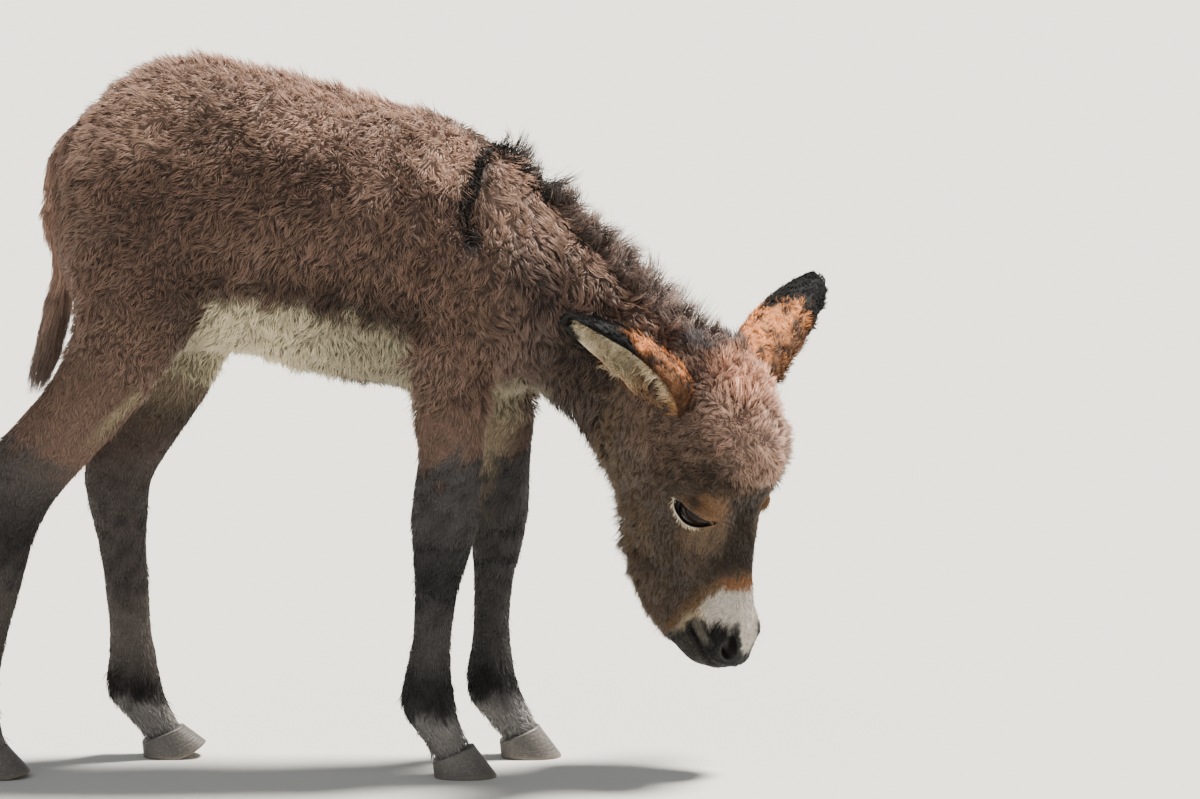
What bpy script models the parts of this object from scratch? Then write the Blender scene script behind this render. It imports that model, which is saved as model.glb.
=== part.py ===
"""A standing donkey foal with its head lowered, as a still life-size model.

Blender 4.5 script, in metres.  +X points towards the chest, +Y to the animal's left, +Z up.
The flesh is lofted limb by limb, fused into one closed skin, and then parted into named
pieces with thin cuts.  Hooves, eyes and ears are pieces of their own.  Every surface lies
at the tips of the coat.
"""

import math

import bmesh
import bpy
import numpy as np
from mathutils import Matrix, Vector

# ---------------------------------------------------------------- driving dimensions
FUSE_VOXEL = 0.005  # grid of the remesh that fuses the lofted flesh
FINE_SMOOTHING = 9  # smoothing passes over all of the fused flesh
BROAD_SMOOTHING = 90  # more passes over the trunk and neck, whose forms are broad
BODY_TRIANGLES = 4900  # budget of the fused flesh, after decimation
HAIR_TRIANGLES = 280  # budget of the tail and of the mane
GAP = 0.0004  # free space between neighbouring pieces
RING_POINTS = 28  # points around each lofted ring
RING_SPACING = 0.012  # distance between lofted rings

FORE_STANCE = 0.060  # half the distance between the fore hooves
HIND_STANCE = 0.062  # half the distance between the hind hooves

HEAD_POLL = Vector((0.338, -0.030, 0.464))  # between the ears, on the head's long axis
HEAD_TURN = math.radians(40)  # the face turns to the animal's right
HEAD_LEAN = math.radians(2.5)  # the muzzle hangs a little ahead of the poll

HEAD_RING_SPACING = 0.008  # the face needs closer rings than the body

EYE_RADIUS = 0.0225
EYE_ALONG = 0.161  # from the poll, along the head
EYE_FORWARD = 0.017  # from the long axis, towards the nose line
EYE_ASIDE = 0.0415  # from the long axis, to either side
EYE_OPENING = (0.016, 0.0240, 0.0115)  # half sizes of the almond between the lids
EYE_OPENING_TILT = math.radians(30)  # its inner corner lies lower

EAR_LENGTH = 0.203
EAR_ALONG = 0.024  # the ear's root, from the poll
EAR_BACK = 0.006
EAR_ASIDE = 0.036
EAR_WALL = 0.0065  # gristle and the short fur on both faces
EAR_BULB = 0.022  # radius of the rounded root
EAR_AXIS = (0.93, -0.085, -0.56)  # out to the side and back over the neck, in head space
EAR_MOUTH = (0.52, -0.09, 0.85)  # the way the cupped side faces, in head space
EAR_STATIONS = (0.0, 0.10, 0.25, 0.42, 0.60, 0.78, 0.90, 0.97, 1.0)
EAR_HALF_WIDTHS = (0.021, 0.027, 0.034, 0.0375, 0.0365, 0.030, 0.0200, 0.0105, 0.003)
EAR_CURL_STATIONS = (0.0, 0.12, 0.30, 0.60, 1.0)
EAR_CURLS = (160, 125, 96, 78, 55)  # half the angle that the blade is rolled through
EAR_BOW = 0.014  # how far the blade arches towards its back
EAR_TIP_BEND = 0.010
EAR_ROWS = 11
EAR_COLUMNS = 9

HOOF_FRONT_HEIGHT = 0.036
HOOF_HEEL_HEIGHT = 0.017
HOOF_HALF_WIDTH = 0.0275
CORONET_HALF_WIDTH = 0.0235
CORONET_SETBACK = 0.027  # of the top of the front wall, behind the toe
HOOF_POINTS = 18
HOOF_ROOM = (0.110, 0.099, 0.060)  # block cut from the leg where the hoof goes
MANE_ROOT_DEPTH = 0.030  # how deep the mane starts under the crest

COAT_BROWN = (0.19, 0.12, 0.09, 1)
LEG_BROWN = (0.09, 0.075, 0.07, 1)
MANE_BLACK = (0.055, 0.045, 0.045, 1)
HORN_GREY = (0.16, 0.145, 0.13, 1)
EYE_BLACK = (0.012, 0.009, 0.008, 1)
EAR_RUST = (0.30, 0.14, 0.07, 1)

# Trunk: distance along the body, top line, belly line, half width, narrowing at the spine.
TRUNK = [
    (-0.374, 0.668, 0.556, 0.052, 0.22),
    (-0.352, 0.727, 0.520, 0.084, 0.22),
    (-0.315, 0.772, 0.490, 0.101, 0.22),
    (-0.270, 0.796, 0.474, 0.109, 0.22),
    (-0.225, 0.803, 0.468, 0.112, 0.22),
    (-0.175, 0.795, 0.466, 0.115, 0.22),
    (-0.110, 0.781, 0.446, 0.121, 0.22),
    (-0.050, 0.763, 0.434, 0.122, 0.24),
    (0.005, 0.749, 0.426, 0.115, 0.30),
    (0.050, 0.739, 0.419, 0.103, 0.42),
    (0.085, 0.727, 0.421, 0.088, 0.50),
    (0.115, 0.700, 0.430, 0.068, 0.50),
    (0.140, 0.650, 0.455, 0.045, 0.45),
    (0.152, 0.610, 0.490, 0.025, 0.40),
]

# Neck: crest point, throat point (both along and up), half width, sideways shift.
NECK = [
    ((0.000, 0.735), (0.020, 0.500), 0.092, 0.000),
    ((0.060, 0.722), (0.090, 0.462), 0.090, 0.000),
    ((0.112, 0.704), (0.138, 0.432), 0.086, 0.000),
    ((0.158, 0.662), (0.172, 0.406), 0.077, -0.001),
    ((0.205, 0.617), (0.198, 0.382), 0.069, -0.005),
    ((0.252, 0.570), (0.218, 0.355), 0.064, -0.012),
    ((0.298, 0.525), (0.235, 0.330), 0.062, -0.020),
    ((0.335, 0.487), (0.255, 0.312), 0.058, -0.027),
]

# Head: distance from the poll, depth to the nose line, depth to the jaw line, half width,
# share by which the jaw edge is narrower than the cheek.
HEAD = [
    (-0.024, 0.020, 0.050, 0.036, 0.1),
    (-0.008, 0.046, 0.068, 0.050, 0.1),
    (0.020, 0.070, 0.088, 0.062, 0.2),
    (0.050, 0.088, 0.102, 0.070, 0.3),
    (0.080, 0.098, 0.113, 0.075, 0.4),
    (0.108, 0.098, 0.121, 0.076, 0.45),
    (0.132, 0.082, 0.126, 0.073, 0.5),
    (0.150, 0.064, 0.128, 0.068, 0.5),
    (0.170, 0.051, 0.127, 0.061, 0.5),
    (0.200, 0.045, 0.133, 0.053, 0.5),
    (0.230, 0.043, 0.128, 0.046, 0.5),
    (0.258, 0.043, 0.118, 0.042, 0.4),
    (0.282, 0.046, 0.103, 0.040, 0.3),
    (0.303, 0.048, 0.079, 0.041, 0.2),
    (0.324, 0.043, 0.048, 0.038, 0.1),
    (0.341, 0.029, 0.029, 0.028, 0.0),
]

# Legs: along, up, half depth (fore and aft), half width, outward shift from the stance line.
FORE_RIGHT = [
    (0.080, 0.600, 0.085, 0.026, 0.020),
    (0.066, 0.520, 0.082, 0.034, 0.018),
    (0.058, 0.465, 0.058, 0.037, 0.009),
    (0.058, 0.422, 0.046, 0.036, 0.004),
    (0.058, 0.357, 0.038, 0.031, 0.001),
    (0.053, 0.315, 0.039, 0.031, 0.000),
    (0.050, 0.285, 0.039, 0.032, 0.000),
    (0.046, 0.245, 0.033, 0.027, 0.000),
    (0.041, 0.205, 0.026, 0.022, 0.000),
    (0.036, 0.150, 0.024, 0.021, 0.000),
    (0.032, 0.110, 0.029, 0.024, 0.000),
    (0.031, 0.083, 0.033, 0.026, 0.000),
    (0.044, 0.056, 0.025, 0.023, 0.000),
    (0.053, 0.034, 0.024, 0.024, 0.000),
    (0.0585, 0.022, 0.024, 0.024, 0.000),
    (0.066, 0.008, 0.024, 0.024, 0.000),
]
FORE_LEFT = [
    (0.092, 0.600, 0.085, 0.026, 0.020),
    (0.090, 0.520, 0.080, 0.034, 0.018),
    (0.104, 0.465, 0.056, 0.037, 0.009),
    (0.112, 0.415, 0.042, 0.035, 0.004),
    (0.113, 0.350, 0.034, 0.030, 0.001),
    (0.110, 0.310, 0.035, 0.030, 0.000),
    (0.108, 0.280, 0.036, 0.031, 0.000),
    (0.106, 0.243, 0.031, 0.027, 0.000),
    (0.102, 0.200, 0.024, 0.022, 0.000),
    (0.100, 0.145, 0.023, 0.021, 0.000),
    (0.099, 0.105, 0.028, 0.024, 0.000),
    (0.100, 0.080, 0.032, 0.026, 0.000),
    (0.117, 0.053, 0.025, 0.023, 0.000),
    (0.129, 0.032, 0.024, 0.024, 0.000),
    (0.1345, 0.020, 0.024, 0.024, 0.000),
    (0.142, 0.006, 0.024, 0.024, 0.000),
]
HIND_RIGHT = [
    (-0.250, 0.660, 0.090, 0.030, 0.012),
    (-0.272, 0.590, 0.092, 0.040, 0.010),
    (-0.285, 0.530, 0.080, 0.044, 0.008),
    (-0.306, 0.478, 0.060, 0.042, 0.006),
    (-0.340, 0.422, 0.049, 0.036, 0.004),
    (-0.380, 0.375, 0.046, 0.032, 0.002),
    (-0.413, 0.338, 0.047, 0.030, 0.000),
    (-0.427, 0.300, 0.040, 0.028, 0.000),
    (-0.433, 0.262, 0.031, 0.024, 0.000),
    (-0.444, 0.207, 0.027, 0.022, 0.000),
    (-0.459, 0.150, 0.026, 0.021, 0.000),
    (-0.470, 0.108, 0.029, 0.024, 0.000),
    (-0.471, 0.083, 0.031, 0.026, 0.000),
    (-0.465, 0.056, 0.025, 0.023, 0.000),
    (-0.459, 0.034, 0.024, 0.024, 0.000),
    (-0.455, 0.022, 0.024, 0.024, 0.000),
    (-0.448, 0.008, 0.024, 0.024, 0.000),
]
HIND_LEFT = [
    (-0.215, 0.660, 0.090, 0.030, 0.012),
    (-0.222, 0.590, 0.092, 0.040, 0.010),
    (-0.236, 0.530, 0.078, 0.044, 0.008),
    (-0.252, 0.470, 0.062, 0.042, 0.006),
    (-0.276, 0.412, 0.050, 0.036, 0.004),
    (-0.303, 0.362, 0.043, 0.032, 0.002),
    (-0.320, 0.325, 0.041, 0.030, 0.000),
    (-0.319, 0.285, 0.035, 0.028, 0.000),
    (-0.315, 0.240, 0.029, 0.024, 0.000),
    (-0.311, 0.195, 0.027, 0.022, 0.000),
    (-0.308, 0.145, 0.026, 0.021, 0.000),
    (-0.305, 0.105, 0.031, 0.024, 0.000),
    (-0.304, 0.080, 0.034, 0.026, 0.000),
    (-0.288, 0.053, 0.025, 0.023, 0.000),
    (-0.275, 0.032, 0.024, 0.024, 0.000),
    (-0.270, 0.020, 0.024, 0.024, 0.000),
    (-0.262, 0.006, 0.024, 0.024, 0.000),
]

# Hooves: leg, toe point along the body, length of the sole, lift of the toe.
HOOVES = {
    "hoof_fore_right": (-FORE_STANCE, 0.109, 0.073, 0.0),
    "hoof_fore_left": (FORE_STANCE, 0.180, 0.072, 0.0),
    "hoof_hind_right": (-HIND_STANCE, -0.408, 0.074, 0.006),
    "hoof_hind_left": (HIND_STANCE, -0.222, 0.074, 0.016),
}

# Tail: along, up, half thickness.
TAIL = [
    (-0.325, 0.718, 0.020),
    (-0.352, 0.702, 0.020),
    (-0.372, 0.668, 0.018),
    (-0.380, 0.625, 0.018),
    (-0.380, 0.580, 0.019),
    (-0.381, 0.530, 0.019),
    (-0.389, 0.482, 0.018),
    (-0.402, 0.440, 0.014),
    (-0.417, 0.410, 0.005),
]

# Mane: crest line along and up, height of the hair above it, half thickness.
MANE = [
    (0.104, 0.704, 0.004, 0.008),
    (0.126, 0.694, 0.018, 0.017),
    (0.165, 0.664, 0.020, 0.021),
    (0.210, 0.620, 0.021, 0.024),
    (0.255, 0.574, 0.023, 0.026),
    (0.300, 0.529, 0.026, 0.028),
    (0.338, 0.492, 0.025, 0.028),
    (0.362, 0.470, 0.010, 0.020),
]

# Cut: centre, direction across it, half the plate's side.
CUTS = {
    "cut_neck_trunk": ((0.136, 0, 0.568), (0.97, 0, 0.10), 0.185),
    "cut_head_neck": ((0.268, 0.001, 0.404), (0.63, -0.53, -0.57), 0.140),
    "cut_fore_right": ((0.058, -0.066, 0.405), (0, 0.25, 1), 0.062),
    "cut_fore_left": ((0.112, 0.066, 0.402), (0, -0.25, 1), 0.062),
    "cut_hind_right": ((-0.318, -0.070, 0.455), (0.50, 0.20, 0.86), 0.078),
    "cut_hind_left": ((-0.258, 0.070, 0.452), (0.38, -0.20, 0.90), 0.082),
}

# Flesh node: a point near the middle of its box, material.
FLESH_NODES = {
    "trunk": ((-0.12, 0, 0.61), "body_coat"),
    "neck": ((0.21, 0, 0.52), "body_coat"),
    "head": ((0.34, -0.03, 0.30), "body_coat"),
    "fore_leg_right": ((0.06, -0.06, 0.21), "leg_coat"),
    "fore_leg_left": ((0.11, 0.06, 0.21), "leg_coat"),
    "hind_leg_right": ((-0.40, -0.06, 0.24), "leg_coat"),
    "hind_leg_left": ((-0.28, 0.06, 0.24), "leg_coat"),
}


# ---------------------------------------------------------------- scene helpers
def clear_scene():
    for obj in list(bpy.data.objects):
        bpy.data.objects.remove(obj)


def new_collection(name):
    made = bpy.data.collections.new(name)
    bpy.context.scene.collection.children.link(made)
    return made


def new_material(name, colour, roughness):
    made = bpy.data.materials.new(name)
    made.use_nodes = True
    shader = made.node_tree.nodes["Principled BSDF"]
    shader.inputs["Base Color"].default_value = colour
    shader.inputs["Roughness"].default_value = roughness
    shader.inputs["Metallic"].default_value = 0.0
    made.diffuse_color = colour
    return made


def new_object(name, mesh, collection, material=None):
    made = bpy.data.objects.new(name, mesh)
    collection.objects.link(made)
    if material:
        mesh.materials.append(material)
    return made


def new_cutter(name, mesh, collection):
    made = new_object(name, mesh, collection)
    made.hide_render = True
    made.display_type = "WIRE"
    return made


def baked(obj):
    """The object's mesh with its modifiers applied."""
    bpy.context.view_layer.update()
    graph = bpy.context.evaluated_depsgraph_get()
    mesh = bpy.data.meshes.new_from_object(obj.evaluated_get(graph))
    obj.modifiers.clear()
    obj.data = mesh
    return obj


def thinned(obj, triangles):
    """The object reduced to about this many triangles."""
    obj.data.calc_loop_triangles()
    step = obj.modifiers.new("thin", "DECIMATE")
    step.ratio = min(1.0, triangles / len(obj.data.loop_triangles))
    return baked(obj)


def add_boolean(obj, cutter, operation="DIFFERENCE"):
    step = obj.modifiers.new(cutter.name, "BOOLEAN")
    step.object = cutter
    step.operation = operation
    step.solver = "EXACT"
    return step


# ---------------------------------------------------------------- lofting
def resample(stations, spacing=RING_SPACING):
    """Rows of numbers along a smooth curve through the stations, one for each ring."""
    rows = np.array(stations, float)
    ghost = np.vstack([2 * rows[0] - rows[1], rows, 2 * rows[-1] - rows[-2]])
    made = []
    for i in range(1, len(ghost) - 2):
        before, start, end, after = ghost[i - 1 : i + 3]
        steps = max(1, round(np.linalg.norm((end - start)[:2]) / spacing))
        for t in np.arange(steps) / steps:
            made.append(
                0.5
                * (
                    2 * start
                    + (end - before) * t
                    + (2 * before - 5 * start + 4 * end - after) * t**2
                    + (3 * start - before - 3 * end + after) * t**3
                )
            )
    made.append(rows[-1])
    return np.array(made)


def superellipse(angle, squareness):
    """(towards the back, to the side) on a unit outline; squareness 2 is a circle."""
    up, side = math.cos(angle), math.sin(angle)
    power = 2 / squareness
    return math.copysign(abs(up) ** power, up), math.copysign(abs(side) ** power, side)


def ring_angles():
    return [2 * math.pi * i / RING_POINTS for i in range(RING_POINTS)]


def loft(name, rings):
    """A closed mesh through rings of equal length, with a rounded point at both ends."""
    shape = bmesh.new()
    loops = [[shape.verts.new(p) for p in ring] for ring in rings]
    for lower, upper in zip(loops, loops[1:]):
        for i, corner in enumerate(lower):
            after = (i + 1) % len(lower)
            shape.faces.new((corner, lower[after], upper[after], upper[i]))
    for loop in (loops[0], loops[-1]):
        centre = sum((v.co for v in loop), Vector()) / len(loop)
        tip = shape.verts.new(centre)
        for i, corner in enumerate(loop):
            shape.faces.new((corner, loop[(i + 1) % len(loop)], tip))
    bmesh.ops.recalc_face_normals(shape, faces=shape.faces)
    mesh = bpy.data.meshes.new(name)
    shape.to_mesh(mesh)
    shape.free()
    return mesh


def ellipsoid(name, centre, radii, turn=None, segments=24):
    shape = bmesh.new()
    bmesh.ops.create_uvsphere(
        shape, u_segments=segments, v_segments=segments * 2 // 3, radius=1.0
    )
    place = Matrix.Translation(centre) @ (turn or Matrix.Identity(4))
    shape.transform(place @ Matrix.Diagonal((*radii, 1.0)))
    mesh = bpy.data.meshes.new(name)
    shape.to_mesh(mesh)
    shape.free()
    return mesh


def tube_between(name, stations, side, squareness=2.1):
    """A limb in the plane y = side: rings square to its path, wider fore and aft."""
    rows = resample(stations)
    path = np.gradient(rows[:, :2], axis=0)
    path /= np.linalg.norm(path, axis=1)[:, None]
    rings = []
    for (along, up, depth, width, outward), (run, rise) in zip(rows, path):
        centre = Vector((along, side + math.copysign(outward, side), up))
        forward = Vector((-rise, 0, run))
        ring = []
        for angle in ring_angles():
            fore, across = superellipse(angle, squareness)
            ring.append(centre + forward * fore * depth + Vector((0, across * width, 0)))
        rings.append(ring)
    return loft(name, rings)


# ---------------------------------------------------------------- flesh
def trunk_mesh():
    rows = resample([(x, 0, *rest) for x, *rest in TRUNK])
    rings = []
    for along, _, top, belly, width, narrowing in rows:
        middle, reach = (top + belly) / 2, (top - belly) / 2
        ring = []
        for angle in ring_angles():
            up, across = superellipse(angle, 2.15)
            ridge = 1 - narrowing * max(0.0, up) ** 2
            ring.append(Vector((along, across * width * ridge, middle + up * reach)))
        rings.append(ring)
    return loft("trunk_flesh", rings)


def neck_mesh():
    rows = resample([(*crest, *throat, width, shift) for crest, throat, width, shift in NECK])
    rings = []
    for crest_x, crest_z, throat_x, throat_z, width, shift in rows:
        crest, throat = Vector((crest_x, 0, crest_z)), Vector((throat_x, 0, throat_z))
        middle, half = (crest + throat) / 2 + Vector((0, shift, 0)), (crest - throat) / 2
        ring = []
        for angle in ring_angles():
            up, across = superellipse(angle, 2.0)
            ridge = 1 - 0.35 * max(0.0, up) ** 2  # thin under the mane
            ring.append(middle + half * up + Vector((0, across * width * ridge, 0)))
        rings.append(ring)
    return loft("neck_flesh", rings)


def head_frame():
    """Head space to world: x to the animal's left of the face, y towards the nose line,
    z down the face from the poll."""
    nose_line = Vector((math.cos(HEAD_TURN), -math.sin(HEAD_TURN), 0))
    down = Vector((math.sin(HEAD_LEAN), 0, -math.cos(HEAD_LEAN)))
    nose_line = (nose_line - down * nose_line.dot(down)).normalized()
    left = nose_line.cross(down)
    turn = Matrix((left, nose_line, down)).transposed().to_4x4()
    return Matrix.Translation(HEAD_POLL) @ turn


def head_mesh():
    frame = head_frame()
    rows = resample([(s, 0, *rest) for s, *rest in HEAD], HEAD_RING_SPACING)
    rings = []
    for down, _, nose, jaw, width, narrowing in rows:
        ring = []
        for angle in ring_angles():
            fore, across = superellipse(angle, 2.25)
            reach = nose if fore > 0 else jaw
            cheek = 1 - narrowing * max(0.0, -fore) ** 1.5
            ring.append(frame @ Vector((across * width * cheek, fore * reach, down)))
        rings.append(ring)
    return loft("head_flesh", rings)


def head_details():
    """Brows, cheek bones, cheeks, nostril wings and chin, on both sides of the face."""
    frame = head_frame()
    made = []
    for side in (-1, 1):
        lumps = [
            ("brow", (side * 0.043, 0.034, 0.138), (0.018, 0.020, 0.030)),
            ("cheek_bone", (side * 0.047, 0.004, 0.188), (0.010, 0.012, 0.042)),
            ("cheek", (side * 0.034, -0.045, 0.150), (0.024, 0.056, 0.062)),
            ("throat_side", (side * 0.031, -0.074, 0.116), (0.033, 0.040, 0.050)),
            ("nostril_wing", (side * 0.021, 0.026, 0.304), (0.017, 0.018, 0.020)),
            ("upper_lip", (side * 0.012, 0.006, 0.326), (0.024, 0.028, 0.020)),
        ]
        for name, centre, radii in lumps:
            made.append(ellipsoid(name, frame @ Vector(centre), radii, frame.to_3x3().to_4x4()))
    chin = frame @ Vector((0, -0.032, 0.305))
    made.append(ellipsoid("chin", chin, (0.022, 0.020, 0.022), frame.to_3x3().to_4x4()))
    return made


def muscles():
    """Breast and shoulder blades, which the lofts leave flat."""
    made = [ellipsoid("breast", (0.122, 0, 0.485), (0.044, 0.060, 0.066))]
    for side in (-1, 1):
        made.append(ellipsoid("shoulder", (0.074, side * 0.044, 0.570), (0.075, 0.047, 0.120)))
    return made


def tail_mesh():
    rows = resample([(x, z, r, 0) for x, z, r in TAIL])
    path = np.gradient(rows[:, :2], axis=0)
    path /= np.linalg.norm(path, axis=1)[:, None]
    rings = []
    for (along, up, half, _), (run, rise) in zip(rows, path):
        forward = Vector((-rise, 0, run))
        ring = []
        for angle in ring_angles():
            fore, across = superellipse(angle, 2.0)
            ring.append(
                Vector((along, 0, up)) + forward * fore * half + Vector((0, across * half * 1.1, 0))
            )
        rings.append(ring)
    return loft("tail_flesh", rings)


def mane_side(along):
    """How far the crest of the neck has bent sideways at this point along the body."""
    rows = resample([(*crest, shift) for crest, _, _, shift in NECK])
    return float(np.interp(along, rows[:, 0], rows[:, 2]))


def mane_mesh():
    rows = resample([(x, z, height, half) for x, z, height, half in MANE])
    path = np.gradient(rows[:, :2], axis=0)
    path /= np.linalg.norm(path, axis=1)[:, None]
    rings = []
    for (along, up, height, half), (run, rise) in zip(rows, path):
        outward = Vector((-rise, 0, run))
        foot = Vector((along, mane_side(along), up)) - outward * MANE_ROOT_DEPTH
        ring = []
        for angle in ring_angles():
            lift, across = superellipse(angle, 2.4)
            reach = (height + MANE_ROOT_DEPTH) * (lift + 1) / 2
            thinner = 1 - 0.35 * max(0.0, lift)
            ring.append(foot + outward * reach + Vector((0, across * half * thinner, 0)))
        rings.append(ring)
    return loft("mane_hair", rings)


def broad_forms(flesh):
    """A vertex group that holds the trunk, the thighs and the neck, fading out at the legs
    and at the head."""
    group = flesh.vertex_groups.new(name="broad_forms")
    for vertex in flesh.data.vertices:
        above_legs = (vertex.co.z - 0.42) / 0.08
        behind_head = (HEAD_POLL.x - 0.03 - vertex.co.x) / 0.06
        weight = min(1.0, above_legs, behind_head)
        if weight > 0:
            group.add([vertex.index], weight, "REPLACE")
    return group.name


def fused_flesh(collection):
    """All lofts as one closed mesh: joined, remeshed, smoothed and decimated."""
    meshes = [
        trunk_mesh(),
        neck_mesh(),
        head_mesh(),
        tube_between("fore_right_flesh", FORE_RIGHT, -FORE_STANCE),
        tube_between("fore_left_flesh", FORE_LEFT, FORE_STANCE),
        tube_between("hind_right_flesh", HIND_RIGHT, -HIND_STANCE),
        tube_between("hind_left_flesh", HIND_LEFT, HIND_STANCE),
        *head_details(),
        *muscles(),
    ]
    shape = bmesh.new()
    for mesh in meshes:
        shape.from_mesh(mesh)
    joined = bpy.data.meshes.new("flesh")
    shape.to_mesh(joined)
    shape.free()
    flesh = new_object("flesh", joined, collection)
    fuse = flesh.modifiers.new("fuse", "REMESH")
    fuse.mode = "VOXEL"
    fuse.voxel_size = FUSE_VOXEL
    soften = flesh.modifiers.new("soften", "SMOOTH")
    soften.factor = 0.5
    soften.iterations = FINE_SMOOTHING
    baked(flesh)
    broaden = flesh.modifiers.new("broaden", "SMOOTH")
    broaden.vertex_group = broad_forms(flesh)
    broaden.factor = 0.5
    broaden.iterations = BROAD_SMOOTHING
    baked(flesh)
    return thinned(flesh, BODY_TRIANGLES)


# ---------------------------------------------------------------- cutting
def plate(name, centre, normal, half_size, collection):
    """A thin square plate, which parts the flesh where it passes through."""
    shape = bmesh.new()
    bmesh.ops.create_cube(shape, size=1.0)
    turn = Vector(normal).to_track_quat("Z", "Y").to_matrix().to_4x4()
    size = Matrix.Diagonal((2 * half_size, 2 * half_size, GAP, 1))
    shape.transform(Matrix.Translation(centre) @ turn @ size)
    mesh = bpy.data.meshes.new(name)
    shape.to_mesh(mesh)
    shape.free()
    return new_cutter(name, mesh, collection)


def coronet(side, toe, sole):
    """(front point, heel point) of the top of a hoof, in the plane of its leg."""
    front = Vector((toe - CORONET_SETBACK, side, HOOF_FRONT_HEIGHT))
    heel = Vector((toe - sole - 0.001, side, HOOF_HEEL_HEIGHT))
    return front, heel


def below_coronet(name, side, toe, sole, collection):
    """A block that takes away all flesh below the top of a hoof, less the gap."""
    front, heel = coronet(side, toe, sole)
    run = (front - heel).normalized()
    up = Vector((-run.z, 0, run.x))
    turn = Matrix((run, Vector((0, 1, 0)), up)).transposed().to_4x4()
    shape = bmesh.new()
    bmesh.ops.create_cube(shape, size=1.0)
    centre = (front + heel) / 2 + up * (GAP - HOOF_ROOM[2] / 2)
    shape.transform(Matrix.Translation(centre) @ turn @ Matrix.Diagonal((*HOOF_ROOM, 1)))
    mesh = bpy.data.meshes.new(name)
    shape.to_mesh(mesh)
    shape.free()
    return new_cutter(name, mesh, collection)


def loose_pieces(obj):
    """Meshes of the separate bodies that an object has fallen into."""
    shape = bmesh.new()
    shape.from_mesh(obj.data)
    left = set(shape.verts)
    bodies = []
    while left:
        todo, body = [left.pop()], set()
        while todo:
            vertex = todo.pop()
            body.add(vertex)
            for edge in vertex.link_edges:
                other = edge.other_vert(vertex)
                if other in left:
                    left.remove(other)
                    todo.append(other)
        bodies.append({v.index for v in body})
    shape.free()
    made = []
    for body in bodies:
        piece = bmesh.new()
        piece.from_mesh(obj.data)
        others = [v for v in piece.verts if v.index not in body]
        bmesh.ops.delete(piece, geom=others, context="VERTS")
        mesh = bpy.data.meshes.new("piece")
        piece.to_mesh(mesh)
        piece.free()
        made.append(mesh)
    return made


def part_flesh(flesh, cutters, parts):
    """Parts the flesh with thin plates, and names each body by the anchor nearest to it."""
    for leg, (side, toe, sole, _) in HOOVES.items():
        add_boolean(flesh, below_coronet(leg + "_room", side, toe, sole, cutters))
    for name, (centre, normal, half_size) in CUTS.items():
        add_boolean(flesh, plate(name, centre, normal, half_size, cutters))
    for side, word in ((1, "left"), (-1, "right")):
        add_boolean(flesh, new_cutter("socket_" + word, eye_mesh(side, GAP), cutters))
        add_boolean(flesh, new_cutter("lids_" + word, eye_opening(side), cutters))
    baked(flesh)
    pieces = loose_pieces(flesh)
    made = {}
    for name, (anchor, material) in FLESH_NODES.items():
        mesh = min(pieces, key=lambda m: (centre_of(m) - Vector(anchor)).length)
        pieces.remove(mesh)
        mesh.materials.clear()
        made[name] = new_object(name, mesh, parts, bpy.data.materials[material])
    if pieces:
        raise RuntimeError(f"{len(pieces)} bodies of flesh have no name")
    bpy.data.objects.remove(flesh)
    return made


def centre_of(mesh):
    low = Vector(map(min, *(v.co for v in mesh.vertices)))
    high = Vector(map(max, *(v.co for v in mesh.vertices)))
    return (low + high) / 2


# ---------------------------------------------------------------- eyes, ears, hooves
def eye_centre(side):
    return head_frame() @ Vector((side * EYE_ASIDE, EYE_FORWARD, EYE_ALONG))


def eye_mesh(side, growth=0.0):
    shape = bmesh.new()
    bmesh.ops.create_uvsphere(shape, u_segments=14, v_segments=8, radius=EYE_RADIUS + growth)
    turn = head_frame().to_3x3().to_4x4() @ Matrix.Rotation(side * math.pi / 2, 4, "Y")
    shape.transform(Matrix.Translation(eye_centre(side)) @ turn)
    mesh = bpy.data.meshes.new("eye")
    shape.to_mesh(mesh)
    shape.free()
    return mesh


def eye_opening(side):
    """The almond between the lids, open to the side of the head."""
    frame = head_frame()
    centre = frame @ Vector((side * (EYE_ASIDE + EYE_RADIUS), EYE_FORWARD, EYE_ALONG))
    turn = frame.to_3x3().to_4x4() @ Matrix.Rotation(-EYE_OPENING_TILT, 4, "X")
    return ellipsoid("eye_opening", centre, EYE_OPENING, turn, 12)


def ear_profile(v):
    """(half width, half angle of the curl) of the ear, from root to tip."""
    half_width = np.interp(v, EAR_STATIONS, EAR_HALF_WIDTHS)
    curl = math.radians(np.interp(v, EAR_CURL_STATIONS, EAR_CURLS))
    return half_width, curl


def mirrored(direction, side):
    """A direction of head space, given for the left side."""
    return Vector((side * direction[0], *direction[1:]))


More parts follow.
